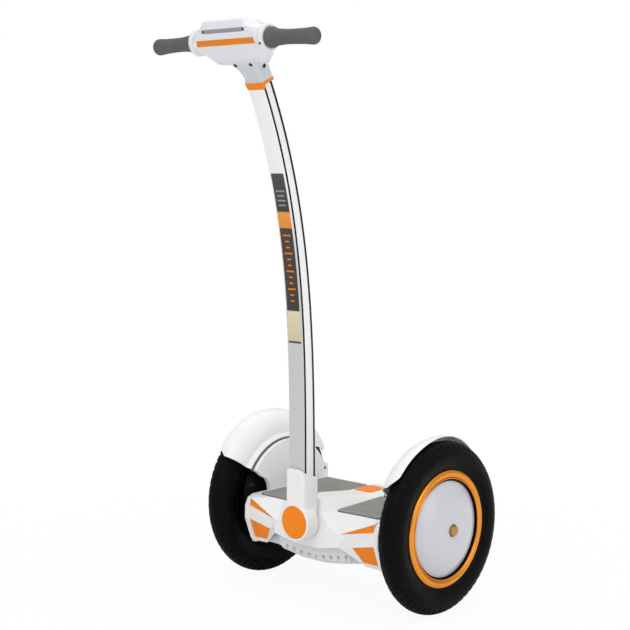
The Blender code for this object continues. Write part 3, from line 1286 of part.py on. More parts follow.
def boot(steering, paints):
    """White boot at the column's foot: an upright socket that grows out of a round pivot drum."""
    quarter = (0, 0, math.pi / 2)
    top = []
    for x, y in boot_outline():
        arch = 1 - (x / BOOT_HALF_WIDTH) ** 2
        fall = (y - BOOT_FRONT_Y) / (BOOT_STEM_REAR_Y - BOOT_FRONT_Y)
        top.append((x, y, BOOT_TOP_Z + BOOT_TOP_RISE * arch - BOOT_TOP_FALL * fall))
    low = [(x, y, PIVOT_Z - BOOT_FOOT_DROP) for x, y in boot_outline()]
    made = add("column_boot", loft([low, top]), paints["white"], steering, axle_frame_of(steering))
    far = BOOT_DISC_RADIUS * 2
    behind_boot = prism([(-far, y, z) for y, z in nose_slope()], (far * 2, 0, 0))
    combine(made, behind_boot, "DIFFERENCE")
    drum_front = BOOT_FRONT_Y - DRUM_PROUD
    drum = [
        (drum_front, 0),
        (drum_front, BOOT_DISC_RADIUS - BOOT_BEVEL),
        (drum_front + BOOT_EASE, BOOT_DISC_RADIUS - BOOT_EASE),
        (drum_front + BOOT_BEVEL, BOOT_DISC_RADIUS),
        (BOOT_REAR_Y, BOOT_DISC_RADIUS),
        (BOOT_REAR_Y, 0),
    ]
    combine(made, revolve(drum, DISC_STEPS, closed=False), "UNION", (0, 0, 0), quarter)
    socket = section(COLUMN_WIDTH / 2, 0, 0, PANEL_CHAMFER, GAP)
    rises = [COLUMN_FOOT_Z - COLUMN_BOTTOM_Z - SHADOW_GAP, 0, BOOT_TOP_Z - COLUMN_BOTTOM_Z + far]
    combine(made, loft(column_rings(socket, rises)), "DIFFERENCE")
    bore_front = BOOT_FRONT_Y + CAP_SINK + BODY_WALL
    bore = cylinder(PIVOT_SHAFT_RADIUS + GAP, bore_front, BOOT_REAR_Y + far, SHAFT_STEPS)
    combine(made, bore, "DIFFERENCE", (0, 0, 0), quarter)
    seat = cylinder(CAP_RADIUS + GAP, BOOT_FRONT_Y - far, BOOT_FRONT_Y + CAP_SINK, DISC_STEPS)
    combine(made, seat, "DIFFERENCE", (0, 0, 0), quarter)
    smooth_by_angle(made, ROUND_SHADING)
    face = BOOT_FRONT_Y - CAP_PROUD
    cap = [
        (BOOT_FRONT_Y + CAP_SINK - GAP, 0),
        (BOOT_FRONT_Y + CAP_SINK - GAP, CAP_RADIUS),
        (face + CAP_PROUD, CAP_RADIUS),
        (face, CAP_RADIUS - CAP_CHAMFER),
        (face + CAP_DISH, 0),
    ]
    profile = revolve(cap, DISC_STEPS, closed=False)
    add("pivot_cap", profile, paints["orange"], steering, (0, 0, 0), quarter, smooth=ROUND_SHADING)


# Column


def column_frame(rise):
    """Front point, upward and forward directions and depth of the column at a rise above the boot."""
    share = min(max(rise / COLUMN_SPAN, 0.0), 1.0)
    upward = Vector((0, -3 * COLUMN_REACH * share**2, COLUMN_SPAN)).normalized()
    forward = Vector((0, -upward.z, upward.y))
    point = Vector((0, COLUMN_FRONT_Y - COLUMN_REACH * share**3, COLUMN_BOTTOM_Z + COLUMN_SPAN * share))
    point += upward * (rise - COLUMN_SPAN * share)
    return point, upward, forward, blend(COLUMN_DEPTH_LOW, COLUMN_DEPTH_HIGH, share)


def column_rises(beyond=0.0):
    """Rises of the column's rings from its foot in the boot to its top, and on beyond the top."""
    rises = [COLUMN_FOOT_Z - COLUMN_BOTTOM_Z]
    rises += [COLUMN_SPAN * k / COLUMN_STEPS for k in range(COLUMN_STEPS + 1)]
    if beyond:
        rises.append(COLUMN_SPAN + beyond)
    return rises


def column_rings(outline, rises):
    """Rings of an outline that follows the column. The outline gives (x, depth share, inset) points."""
    rings = []
    for rise in rises:
        point, _, forward, depth = column_frame(rise)
        ring = []
        for x, share, inset in outline:
            ring.append(point + Vector((x, 0, 0)) - forward * (depth * share + inset))
        rings.append(ring)
    return rings


def section(half, front, rear, cut, margin=0.0):
    """Closed column outline of (x, depth share, inset) points with cut corners, grown by a margin."""
    half += margin
    front -= margin
    rear -= margin
    return [
        (-half, 0, front + cut),
        (-half + cut, 0, front),
        (half - cut, 0, front),
        (half, 0, front + cut),
        (half, 1, -rear - cut),
        (half - cut, 1, -rear),
        (-half + cut, 1, -rear),
        (-half, 1, -rear - cut),
    ]


def core_section(margin):
    """Outline of the column's core tube, grown by a margin."""
    return section(CORE_HALF_WIDTH, FRONT_PANEL_THICKNESS + GAP, 0, COLUMN_CORNER, margin)


def column(steering, paints):
    """Curved column: black core tube, silver front panel and two bright side strips."""
    place = axle_frame_of(steering)
    rises = column_rises(SPIGOT_LENGTH)
    core = tube(column_rings(core_section(0), rises), column_rings(core_section(-COLUMN_WALL), rises))
    add("column_tube", core, paints["black"], steering, place, smooth=SKIN_SHADING)
    wide = COLUMN_WIDTH / 2
    panel = [
        (-wide, 0, PANEL_CHAMFER),
        (-wide + PANEL_CHAMFER, 0, 0),
        (wide - PANEL_CHAMFER, 0, 0),
        (wide, 0, PANEL_CHAMFER),
        (wide, 0, FRONT_PANEL_THICKNESS),
        (-wide, 0, FRONT_PANEL_THICKNESS),
    ]
    panel_body = loft(column_rings(panel, column_rises()))
    add("column_front_panel", panel_body, paints["silver"], steering, place, smooth=SKIN_SHADING)
    for side, label in ((1, "left"), (-1, "right")):
        near, far = side * (CORE_HALF_WIDTH + GAP), side * wide
        strip = [
            (near, 0, STRIP_FRONT_INSET),
            (far, 0, STRIP_FRONT_INSET),
            (far, 1, -STRIP_REAR_INSET),
            (near, 1, -STRIP_REAR_INSET),
        ]
        strip_body = loft(column_rings(strip, column_rises()))
        add(f"{label}_column_strip", strip_body, paints["chrome"], steering, place, smooth=SKIN_SHADING)


def collar(steering, paints):
    """Orange collar round the column's spigot, between the column's skin and the neck."""
    foot = COLUMN_SPAN + GAP
    rises = [foot, foot + COLLAR_FOOT_LENGTH, foot + COLLAR_LENGTH]
    margins = [COLLAR_FOOT_MARGIN, COLLAR_FOOT_MARGIN, COLLAR_TOP_MARGIN]
    outer = []
    inner = []
    for rise, margin in zip(rises, margins):
        outer += column_rings(section(COLUMN_WIDTH / 2, 0, 0, PANEL_CHAMFER, margin), [rise])
        inner += column_rings(core_section(GAP), [rise])
    add("column_collar", tube(outer, inner), paints["orange"], steering, axle_frame_of(steering))


# Handlebar head


def head_middle():
    """(y, z) outline of the head's deep middle, from the slot line down the face and round the back."""
    return [(BAR_Y + y, BAR_Z + z) for y, z in HEAD_SECTION]


def head_ends():
    """(y, z) outline of the head's round ends, point for point with the middle."""
    found = []
    for angle in HEAD_END_ANGLES:
        turn = math.radians(angle)
        found.append((BAR_Y + HEAD_END_RADIUS * math.cos(turn), BAR_Z + HEAD_END_RADIUS * math.sin(turn)))
    return found


def head_rings(wall):
    """Rings of the head along X. The face stays flat nearly to the ends, while the rest rounds off."""
    half = [
        (HEAD_DEEP_X, 0.0, 0.0),
        (HEAD_SHOULDER_X, 0.0, HEAD_SHOULDER_SHARE),
        (HEAD_FACE_X, *HEAD_FACE_SHARES),
        (HEAD_END_X, 1.0, 1.0),
    ]
    rings = []
    for side, order in ((-1, half[::-1]), (1, half)):
        for x, face_share, back_share in order:
            ring = []
            for k, (deep, end) in enumerate(zip(head_middle(), head_ends())):
                share = face_share if k in HEAD_FACE_POINTS else back_share
                ring.append((blend(deep[0], end[0], share), blend(deep[1], end[1], share)))
            if wall:
                ring = grown(ring, -wall)
            reach = x - (wall if x > HEAD_FACE_X else 0)
            rings.append([(side * reach, y, z) for y, z in ring])
    return rings


def neck_levels():
    """Neck sections as (half width, front point, rear point), from the collar up into the head."""
    point, upward, forward, depth = column_frame(COLUMN_SPAN + COLLAR_LENGTH + GAP * 2)
    half = COLUMN_WIDTH / 2 + COLLAR_TOP_MARGIN
    front = (point + forward * COLLAR_TOP_MARGIN).yz
    rear = (point - forward * (depth + COLLAR_TOP_MARGIN)).yz
    bar = Vector((BAR_Y, BAR_Z))
    screws = bar + Vector(NECK_SCREWS)
    chin = bar + Vector(NECK_CHIN)
    nape = bar + Vector(NECK_NAPE)
    crown = bar + Vector(NECK_CROWN)
    levels = [(half, front, rear)]
    for spread, front_share, rear_share, hollow in NECK_LEVELS:
        throat = blend(front, screws, front_share) + Vector((hollow, 0))
        levels.append((half + spread, throat, blend(rear, nape, rear_share)))
    levels.append((half + NECK_SCREWS_SPREAD, screws, nape))
    levels.append((half + NECK_CHIN_SPREAD, chin, crown))
    return levels


def neck_rings(inset):
    """Rings of the neck, drawn in by an inset."""
    rings = []
    levels = neck_levels()
    if inset:
        half, front, rear = levels[0]
        drop = (front - levels[1][1]).normalized() * HEAD_WALL * 2
        levels[0] = (half, front + drop, rear + drop)
    for half, front, rear in levels:
        back = (rear - front).normalized()
        wide = half - inset
        nose = front + back * inset
        tail = rear - back * inset
        cut = NECK_CORNER
        ring = []
        for x, share in ((-wide, cut), (-wide + cut, 0), (wide - cut, 0), (wide, cut)):
            spot = nose + back * share
            ring.append((x, spot.x, spot.y))
        for x, share in ((wide, cut), (wide - cut, 0), (-wide + cut, 0), (-wide, cut)):
            spot = tail - back * share
            ring.append((x, spot.x, spot.y))
        rings.append(ring)
    return rings


def split_outline():
    """(y, z) outline of the space in front of the head's seam, which runs through the bar's axis."""
    slot = Vector(head_middle()[0]) + Vector((0, SEAM_RISE))
    axis = Vector((BAR_Y, BAR_Z))
    point, _, forward, depth = column_frame(COLUMN_SPAN)
    neck = (point - forward * (depth / 2)).yz
    front = axis + (slot - axis).normalized() * SEAM_REACH
    foot = axis + (neck - axis).normalized() * SEAM_NECK_REACH
    return [(front.x, foot.y), tuple(foot), tuple(axis), tuple(front)]


def slab(first, second, start, end, low, high, half_start, half_end):
    """Flat piece on the head's skin between two (y, z) points, from a low to a high offset.

    Start and end are lengths along the line from the first point."""
    first, second = Vector(first), Vector(second)
    along = (second - first).normalized()
    out = Vector((along.y, -along.x))
    if out.dot(first - Vector((BAR_Y, BAR_Z))) < 0:
        out = -out
    rings = []
    for offset in (low, high):
        one = first + along * start + out * offset
        two = first + along * end + out * offset
        rings.append(
            [
                (-half_start, one.x, one.y),
                (half_start, one.x, one.y),
                (half_end, two.x, two.y),
                (-half_end, two.x, two.y),
            ]
        )
    return loft(rings)


def head_shell(name, in_front, steering, paints):
    """One half of the head: the skin and neck, hollowed, bored for the bar and split at the seam."""
    place = axle_frame_of(steering)
    shell = add(name, loft(head_rings(0)), paints["white"], steering, place)
    combine(shell, loft(neck_rings(0)), "UNION")
    combine(shell, loft(head_rings(HEAD_WALL)), "DIFFERENCE")
    combine(shell, loft(neck_rings(HEAD_WALL)), "DIFFERENCE")
    spigot = loft(column_rings(core_section(GAP), [COLUMN_SPAN, COLUMN_SPAN + SPIGOT_LENGTH + GAP]))
    combine(shell, spigot, "DIFFERENCE")
    bore = cylinder(BAR_RADIUS + GAP, -HEAD_END_X * 2, HEAD_END_X * 2, SHAFT_STEPS)
    combine(shell, bore, "DIFFERENCE", (0, BAR_Y, BAR_Z - PIVOT_Z))
    wide = HEAD_END_X * 2
    outline = split_outline()
    if not in_front:
        outline = grown(outline, GAP)
    keep = prism([(-wide, y, z) for y, z in outline], (wide * 2, 0, 0))
    combine(shell, keep, "INTERSECT" if in_front else "DIFFERENCE")
    return shell


def inlay(shell, name, edge, margins, half_start, half_end, material, steering):
    """Cuts a shallow pocket into one edge of the shell's section and lays a plate in it."""
    points = head_middle()
    first, second = points[edge], points[edge + 1]
    start = margins[0]
    end = (Vector(second) - Vector(first)).length - margins[1]
    low, high = -INSERT_SINK, HEAD_WALL * 2
    pocket = slab(first, second, start - GAP, end + GAP, low, high, half_start + GAP, half_end + GAP)
    combine(shell, pocket, "DIFFERENCE")
    plate = slab(first, second, start, end, low + GAP, INSERT_PROUD, half_start, half_end)
    add(name, plate, material, steering, axle_frame_of(steering))


def head(steering, paints):
    """The two head shells with the light bar, stripe and display. Gives the power button's seat."""
    front = head_shell("head_front_shell", True, steering, paints)
    rear = head_shell("head_rear_shell", False, steering, paints)
    points = [Vector(point) for point in head_middle()]
    stripe = HEAD_FACE_X - STRIPE_INSET
    low_stripe = stripe + STRIPE_SLANT
    inlay(front, "head_stripe", HEAD_STRIPE_EDGE, (0, 0), stripe, low_stripe, paints["orange"], steering)
    face = (points[HEAD_LIGHT_EDGE + 1] - points[HEAD_LIGHT_EDGE]).length
    below = face - LIGHT_EDGE - LIGHT_WIDTH
    light = HEAD_DEEP_X - LIGHT_INSET
    inlay(front, "light_bar", HEAD_LIGHT_EDGE, (LIGHT_EDGE, below), light, light, paints["black"], steering)
    margins = (DISPLAY_MARGIN, DISPLAY_MARGIN)
    half = DISPLAY_HALF_WIDTH
    inlay(rear, "display_panel", HEAD_DISPLAY_EDGE, margins, half, half, paints["black"], steering)
    first, second = points[HEAD_BUTTON_EDGE], points[HEAD_BUTTON_EDGE + 1]
    along = (second - first).normalized()
    out = Vector((along.y, -along.x))
    if out.dot(first - Vector((BAR_Y, BAR_Z))) < 0:
        out = -out
    return (first + second) / 2, out, rear


def power_button(seat, out, rear, press, steering, paints):
    """Round power button in the head's rear face, held by a flange behind the wall."""
    tilt = Matrix.Rotation(-math.atan2(out.x, out.y), 3, "X")
    upright = (tilt @ Matrix.Rotation(-math.pi / 2, 3, "Y")).to_euler()
    hole = cylinder(BUTTON_RADIUS + GAP, -HEAD_WALL * 3, HEAD_WALL * 3, SHAFT_STEPS)
    combine(rear, hole, "DIFFERENCE", (0, seat.x, seat.y - PIVOT_Z), upright)
    under = -HEAD_WALL - GAP
    profile = [
        (under - BUTTON_FLANGE, 0),
        (under - BUTTON_FLANGE, BUTTON_RADIUS + BUTTON_FLANGE),
        (under, BUTTON_RADIUS + BUTTON_FLANGE),
        (under, BUTTON_RADIUS),
        (BUTTON_PROUD - RUNNING_GAP, BUTTON_RADIUS),
        (BUTTON_PROUD, BUTTON_RADIUS - RUNNING_GAP),
        (BUTTON_PROUD, 0),
    ]
    body = revolve(profile, SHAFT_STEPS, closed=False)
    add("power_button", body, paints["orange"], press, (0, 0, 0), upright, smooth=ROUND_SHADING)


def handlebar(steering, paints):
    """Handlebar tube with drooping ends, its grips and the cuffs beside the head."""
    bend = HEAD_END_X + CUFF_LENGTH + GAP * 2
    droop = math.radians(GRIP_DROOP)
    reach = GRIP_LENGTH - GRIP_END_WALL - GAP * 2
    outer = []
    inner = []
    for x, drop in ((-bend - reach, reach), (-bend, 0), (bend, 0), (bend + reach, reach)):
        for radius, rings in ((BAR_RADIUS, outer), (BAR_RADIUS - BAR_WALL, inner)):
            ring = []
            for k in range(SHAFT_STEPS):
                turn = 2 * math.pi * k / SHAFT_STEPS
                z = BAR_Z - drop * math.tan(droop) + radius * math.sin(turn)
                ring.append((x, BAR_Y + radius * math.cos(turn), z))
            rings.append(ring)
    place = axle_frame_of(steering)
    add("handlebar_tube", tube(outer, inner), paints["steel"], steering, place, smooth=ROUND_SHADING)
    bore = BAR_RADIUS + GAP
    cuff_end = HEAD_END_X + CUFF_LENGTH
    cuff = [
        (HEAD_END_X + GAP, bore),
        (HEAD_END_X + GAP, HEAD_END_RADIUS),
        (HEAD_END_X + CUFF_CHAMFER, CUFF_RADIUS),
        (cuff_end - CUFF_EASE, CUFF_RADIUS),
        (cuff_end, CUFF_RADIUS - CUFF_EASE),
        (cuff_end, GRIP_FLANGE_RADIUS),
        (cuff_end - CUFF_DISH, GRIP_FLANGE_RADIUS - GAP * 4),
        (cuff_end - CUFF_DISH, bore),
    ]
    hollow = GRIP_LENGTH - GRIP_END_WALL
    grip = [(hollow, 0), (hollow, bore), (GAP, bore), (GAP, GRIP_FLANGE_RADIUS - GRIP_EDGE)]
    for along, share in GRIP_CURVE:
        grip.append((GRIP_LENGTH * along, blend(GRIP_WAIST_RADIUS, GRIP_FLANGE_RADIUS, share)))
    for along, share in GRIP_TAIL_CURVE:
        grip.append((GRIP_LENGTH * along, blend(GRIP_WAIST_RADIUS, GRIP_END_RADIUS, share)))
    for along, share in GRIP_TIP_CURVE:
        grip.append((GRIP_LENGTH * along, GRIP_END_RADIUS * share))
    grip.append((GRIP_LENGTH, 0))
    for side, label in ((1, "left"), (-1, "right")):
        at_axis = (0, BAR_Y, BAR_Z - PIVOT_Z)
        cuff_body = revolve(turned_outwards(cuff, side), CUFF_STEPS)
        add(f"{label}_cuff", cuff_body, paints["white"], steering, at_axis, smooth=ROUND_SHADING)
        grip_body = revolve(turned_outwards(grip, side), GRIP_STEPS, closed=False)
        at_bend = (side * bend, BAR_Y, BAR_Z - PIVOT_Z)
        turn = (0, side * droop, 0)
        add(f"{label}_grip", grip_body, paints["grip"], steering, at_bend, turn, smooth=ROUND_SHADING)


def main():
    """Builds every piece under the empty called scooter."""
    for old in list(bpy.data.objects):
        bpy.data.objects.remove(old, do_unlink=True)
    paints = {
        "white": paint("white_plastic", (0.86, 0.86, 0.87), 0.30),
        "shade": paint("pale_grey_plastic", (0.70, 0.70, 0.72), 0.38),
        "pearl": paint("pearl_white", (0.78, 0.78, 0.82), 0.22),
        "orange": paint("orange_plastic", (0.86, 0.20, 0.01), 0.35),
        "gold": paint("orange_anodised", (0.72, 0.28, 0.03), 0.30, 0.7),
        "rubber": paint("tyre_rubber", (0.015, 0.015, 0.017), 0.75),
        "mat": paint("grey_rubber", (0.26, 0.26, 0.25), 0.85),
        "grip": paint("dark_grey_rubber", (0.12, 0.12, 0.12), 0.80),
        "black": paint("black_plastic", (0.02, 0.02, 0.02), 0.45),
        "silver": paint("satin_silver", (0.62, 0.63, 0.65), 0.35, 0.6),
        "chrome": paint("bright_strip", (0.88, 0.88, 0.89), 0.12, 0.9),
        "alloy": paint("cast_alloy", (0.50, 0.51, 0.53), 0.45, 0.8),
        "steel": paint("steel", (0.45, 0.45, 0.47), 0.35, 0.9),
        "brass": paint("brass", (0.62, 0.44, 0.14), 0.35, 0.9),
        "copper": paint("copper_windings", (0.50, 0.22, 0.09), 0.50, 0.6),
        "battery": paint("battery_wrap", (0.05, 0.14, 0.30), 0.50),
        "board": paint("controller", (0.03, 0.20, 0.10), 0.60),
    }
    scooter = empty("scooter", (0, AXLE_Y, TYRE_RADIUS))
    steering = empty("steering_axis", (0, 0, PIVOT_Z), scooter)
    cover = deck_cover(scooter, paints)
    lower_cover(scooter, paints)
    chassis(scooter, paints)
    battery(scooter, paints)
    control_board(scooter, paints)
    pivot_parts(scooter, steering, paints)
    boot(steering, paints)
    column(steering, paints)
    collar(steering, paints)
    seat, out, rear = head(steering, paints)
    press = empty("button_press", (0, seat.x, seat.y - PIVOT_Z), steering)
    power_button(seat, out, rear, press, steering, paints)
    handlebar(steering, paints)
    hinge = empty("charge_lid_hinge", (0, LID_REAR_Y, RIDGE_REAR_Z + GAP), scooter)
    charging_parts(scooter, hinge, paints)
    for side, label in ((1, "left"), (-1, "right")):
        axle_parts(side, label, scooter, paints)
        spin = empty(f"{label}_wheel_axis", (side * HALF_TRACK, 0, 0), scooter)
        wheel(side, label, spin, paints)
        fender(side, label, scooter, paints)
        side_plate(side, label, scooter, paints)
        lamp_trims(side, label, scooter, cover, paints)
        press = empty(f"{label}_mat_press", (side * DECK_HALF_WIDTH / 2, 0, MAT_BOTTOM_Z), scooter)
        foot_mat(side, label, press, paints)
        foot_switch(side, label, scooter, paints)


main()
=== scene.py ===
"""Looks of the self-balancing scooter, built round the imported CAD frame.

Units are metres: +X is the rider's left, -Y is forwards and +Z is up. Pieces are written in the
axle frame, where Y = 0 is the axle line, and skin() moves them from there into the row frame.
"""

import math

import bmesh
import bpy
from mathutils import Matrix, Vector

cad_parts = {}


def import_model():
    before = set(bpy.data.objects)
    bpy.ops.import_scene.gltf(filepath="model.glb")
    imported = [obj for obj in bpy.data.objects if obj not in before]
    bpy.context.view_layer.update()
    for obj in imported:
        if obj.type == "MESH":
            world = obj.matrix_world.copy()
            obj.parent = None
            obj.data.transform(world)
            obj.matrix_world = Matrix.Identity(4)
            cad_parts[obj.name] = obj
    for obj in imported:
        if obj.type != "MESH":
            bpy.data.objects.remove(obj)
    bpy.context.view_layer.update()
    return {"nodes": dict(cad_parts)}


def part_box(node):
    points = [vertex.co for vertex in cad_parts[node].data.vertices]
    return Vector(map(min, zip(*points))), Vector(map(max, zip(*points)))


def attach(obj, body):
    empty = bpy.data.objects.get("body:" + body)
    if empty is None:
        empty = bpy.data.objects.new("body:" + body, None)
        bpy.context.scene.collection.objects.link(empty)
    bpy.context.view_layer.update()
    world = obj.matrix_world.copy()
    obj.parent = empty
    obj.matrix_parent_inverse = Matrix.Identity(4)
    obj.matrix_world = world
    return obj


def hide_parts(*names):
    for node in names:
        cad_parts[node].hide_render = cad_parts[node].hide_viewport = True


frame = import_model()
nodes = frame["nodes"]

SIDES = ((1, "left"), (-1, "right"))
GAP = 0.0003

# Camera, fitted to the photograph's 630 by 630 frame
CAMERA_PLACE = (2.0814, -2.29605, 0.9557)
CAMERA_TURN = (83.88, 0.0, 42.36)
CAMERA_LENS = 83.44
SENSOR = 36.0

# Wheels, read from the frame
TYRE_LOW, TYRE_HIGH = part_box("left_tyre")
TYRE_RADIUS = (TYRE_HIGH.z - TYRE_LOW.z) / 2
TYRE_WIDTH = TYRE_HIGH.x - TYRE_LOW.x
WHEEL_X = (TYRE_HIGH.x + TYRE_LOW.x) / 2
AXLE_Y = (TYRE_HIGH.y + TYRE_LOW.y) / 2
AXLE_Z = TYRE_RADIUS
TYRE_WALL = 0.0070
TREAD_THICKNESS = 0.0120
BEAD_WIDTH = 0.0060
RIM_WIDTH = 0.0470
RIM_SEAT_RADIUS = 0.1215
RIM_FLANGE_RADIUS = 0.1250
RIM_THROAT_RADIUS = 0.1070
RIM_BORE_RADIUS = 0.1045
RIM_WELL = (0.0110, 0.1130)  # inset from the rim's side, radius
WHEEL_STEPS = 144

# Tread, by the angle off the crown in degrees and by shares of one repeat
TREAD_REPEATS = 60
TREAD_SAMPLES = 8
TREAD_SECTION = (-40, 260, 88)  # first section angle, sweep, steps
CROWN_ANGLE = 24
SHOULDER_ANGLE = 58
GROOVE_DEPTH, GROOVE_SLANT = 0.0024, 0.012
SIPE_DEPTH, SIPE_SLANT, SIPE_END_ANGLE = 0.0012, 0.02, 20
RING_GROOVE_DEPTH, RING_GROOVE_ANGLE, RING_GROOVE_HALF_WIDTH = 0.0020, 22, 2.6
SIDEWALL_RINGS = ((-22, 0.0006, 4), (202, 0.0006, 4), (6, 0.0004, 3), (174, 0.0004, 3))

# Motor covers and axle nuts
COVER_RADIUS = 0.1015
COVER_WALL = 0.0030
COVER_EDGE_INSET = 0.0050
COVER_CURVE = 3.2
OUTER_DOME = 0.0140
INNER_DOME = 0.0110
INNER_HOLE_RADIUS = 0.0081
RECESS_RADIUS = 0.0175
RECESS_DEPTH = 0.0009
RECESS_HALF_WIDTH = 0.0016
COVER_SCREWS = 8
COVER_SCREW_SHARE = 0.86
COVER_SCREW_SIZE = (0.0034, 0.0014)  # radius, height
NUT_RADIUS = 0.0120
NUT_HEIGHT = 0.0085
NUT_FLAT_REACH = 1.06
NUT_LEVELS = (  # drop below the tip, inset, share of the flats
    (NUT_HEIGHT, 0.0004, 0.0),
    (NUT_HEIGHT - 0.0004, 0.0, 0.0),
    (0.0052, 0.0, 0.0),
    (0.0048, 0.0004, 0.4),
    (0.0018, 0.0005, 0.5),
    (0.0009, 0.0014, 0.25),
    (0.0004, 0.0030, 0.0),
    (0.0001, 0.0055, 0.0),
    (0.0, 0.0090, 0.0),
)

# Fenders
FENDER_ARC_RADIUS = 0.0450
FENDER_CROWN = 0.0110
FENDER_WALL = 0.0030
FENDER_ROOT_X = 0.1941
FENDER_ROOT_RADIUS = 0.1360
FENDER_FLANGE_RADIUS = 0.1240
FENDER_FRONT_ANGLE = 35.0
FENDER_REAR_ANGLE = 150.0
FENDER_ARC_ANGLE = 186.0
FENDER_LIP_ANGLE = 80.0
FENDER_FRONT_LIP_ANGLE = 110.0
FENDER_FRONT_RUN = 9.5
FENDER_REAR_LIP_ANGLE = 116.0
FENDER_REAR_RUN = 82.0
FENDER_REAR_CURVE = 1.4
FENDER_CUT_ANGLE = 135.0
FENDER_CUT_LEAN = 163.0
FENDER_STEPS = 92
FENDER_SPACING = 1.35

# Column
PIVOT_Z = 0.1860
COLUMN_BOTTOM_Z = 0.3000
COLUMN_TOP_Z = 1.0920
COLUMN_SPAN = COLUMN_TOP_Z - COLUMN_BOTTOM_Z
COLUMN_FOOT_Z = 0.2320
COLUMN_FRONT_Y = -0.1710
COLUMN_REACH = 0.1180
COLUMN_WIDTH = 0.0430
COLUMN_DEPTH_LOW = 0.0390
COLUMN_DEPTH_HIGH = 0.0330
FRONT_PANEL_THICKNESS = 0.0030
STRIP_THICKNESS = 0.0016
STRIP_FRONT_INSET = 0.0085
STRIP_REAR_INSET = 0.0099
SPIGOT_LENGTH = 0.0300
COLUMN_STEPS = 64
DECAL_TOP_Z = 0.925
DECAL_LOW_Z = 0.570
DECAL_HALF_WIDTH = 0.0176
DECAL_CORNER = 0.0020
DECAL_MARKS = (  # name, finish, count, drop, pitch, half height, every, long share, short share
    ("bars", "mat", 4, 0.036, 0.0098, 0.0016, 2, 0.66, 0.56),
    ("ticks", "stripe", 12, 0.128, 0.0125, 0.0015, 3, 0.62, 0.30),
)

# Collar
COLLAR_LENGTH = 0.0150
COLLAR_FOOT_MARGIN = 0.0012
COLLAR_TOP_MARGIN = 0.0032
COLLAR_SIDE_RISE = 0.0085
COLLAR_EASE = 0.0014

# Boot
BOOT_FRONT_Y = -0.1790
BOOT_REAR_Y = -0.1465
BOOT_STEM_REAR_Y = -0.1290
BOOT_DISC_RADIUS = 0.0400
BOOT_HALF_WIDTH = 0.0265
BOOT_TOP_Z = 0.2960
BOOT_TOP_RISE = 0.0080
BOOT_TOP_FALL = 0.0170
BOOT_TOP_EDGE = (  # drop, inset
    (0.0022, 0),
    (0.0014, 0.0003),
    (0.0006, 0.0009),
    (0.0001, 0.0020),
    (0, 0.0034),
)
BOOT_CORNER = 0.0100
BOOT_FOOT_Z = 0.1700
BOOT_BEVEL = 0.0030
BOOT_EASE = 0.0009
BOOT_SOCKET_TOP_Z = 0.38
NOSE_LOW = (-0.1462, 0.1750)
NOSE_HIGH = (-0.1252, 0.2290)
CAP_RADIUS = 0.0350
CAP_SINK = 0.0030
CAP_PROUD = 0.0015

# Handlebar head; its sides are counted from the slot line down the face and round the back
BAR_Y = -0.3520
BAR_Z = 1.1870
HEAD_AXIS = Vector((BAR_Y, BAR_Z))
HEAD_DEEP_X = 0.0560
HEAD_END_X = 0.0900
HEAD_END_RADIUS = 0.0262
SLOT_SIDE = 0
STRIPE_SIDE = 1
BUTTON_SIDE = 7
DISPLAY_SIDE = 8
SEAM_HALF_WIDTH = 0.00025
CUFF_LENGTH = 0.0120
CUFF_RADIUS = 0.0275
GRIP_LENGTH = 0.1210
GRIP_FLANGE_RADIUS = 0.0204
GRIP_WAIST_RADIUS = 0.0146
GRIP_END_RADIUS = 0.0166
CUFF_BORE_RADIUS = 0.0113
GRIP_DROOP = 1.6
GRIP_STEPS = 120
STRIPE_HALF_LENGTH = 0.0785
STRIPE_SLANT = 0.0025
LIGHT_HALF_LENGTH = 0.0560
LIGHT_SCREW_SIZE = (0.0027, 0.0014)
DISPLAY_HALF_WIDTH = 0.0300
CHARGE_BAR_PITCH = 0.0075
BUTTON_RADIUS = 0.0070
BUTTON_WELL_DEPTH = 0.0048
NECK_SCREW_X = 0.0213
NECK_SCREW_SIZE = (0.0044, 0.0014)
NECK_SIDE_SCREW_SIZE = (0.0048, 0.0014)
NECK_FRONT_SHIFT = (-0.0017, 0.0015)  # y and z, from the neck's outline to its skin
NECK_FRONT_OUT = (0, -0.654, -0.757)  # square to the neck's front, below the chin
NECK_SIDE_SPOT = (0.0282, -0.2940, 1.1388)
NECK_SIDE_OUT = (0.971, 0.093, -0.219)
CUFF_SCREW_SHARE = 0.62
CUFF_SCREW_SIZE = (0.0026, 0.0010)
CUFF_SCREW_OUT = (0.12, -0.893, -0.452)

# Deck
DECK_Z = 0.2075
MAT_TOP_Z = 0.2115
MAT_CORNER = 0.0070
MAT_RIB_PITCH = 0.0052
MAT_RIB_WIDTH = 0.0026
MAT_RIB_HEIGHT = 0.0008
MAT_INNER_FRONT_X = 0.0590
MAT_INNER_REAR_X = 0.0450
MAT_TAPER_LENGTH = 0.236
MAT_FRONT_SLANT = 0.0040
MAT_DARK_RIM_PROFILE = (  # reach, rise above the deck
    (0.0002, -0.0015),
    (0.0002, 0.0008),
    (0.0011, 0.0012),
    (0.0018, 0.0006),
    (0.0018, -0.0015),
)
LID_TAPER = 0.0019
LID_CORNER = 0.0095
BELLY_EDGE_X = 0.0940
BELLY_LOW_Z = 0.0860
BELLY_EDGE_Z = 0.0996
RIB_BACK_PLACES = (-0.1158, 0.1313)
RIB_BACK_WALL = 0.0010
COVER_HOLLOW_Z = 0.1200
COVER_HOLLOW_SHARE = 0.6
COVER_PIVOT_X = 0.0300
COVER_INNER_SINK = 0.0042
COVER_BEVEL = 0.0010
FLAT_ANGLE = 1.5
EDGE_ANGLE = 3.0
SHIELD_SCREW_SPOT = (0.1812, 0.1210, 0.2310)
SHIELD_SCREW_SIZE = (0.0030, 0.0011)
# Painted shade: a dark grey strip that stands for the shadow in the seam round each shield
SHADE_SEAL_FRONT_ANGLE = 34.0
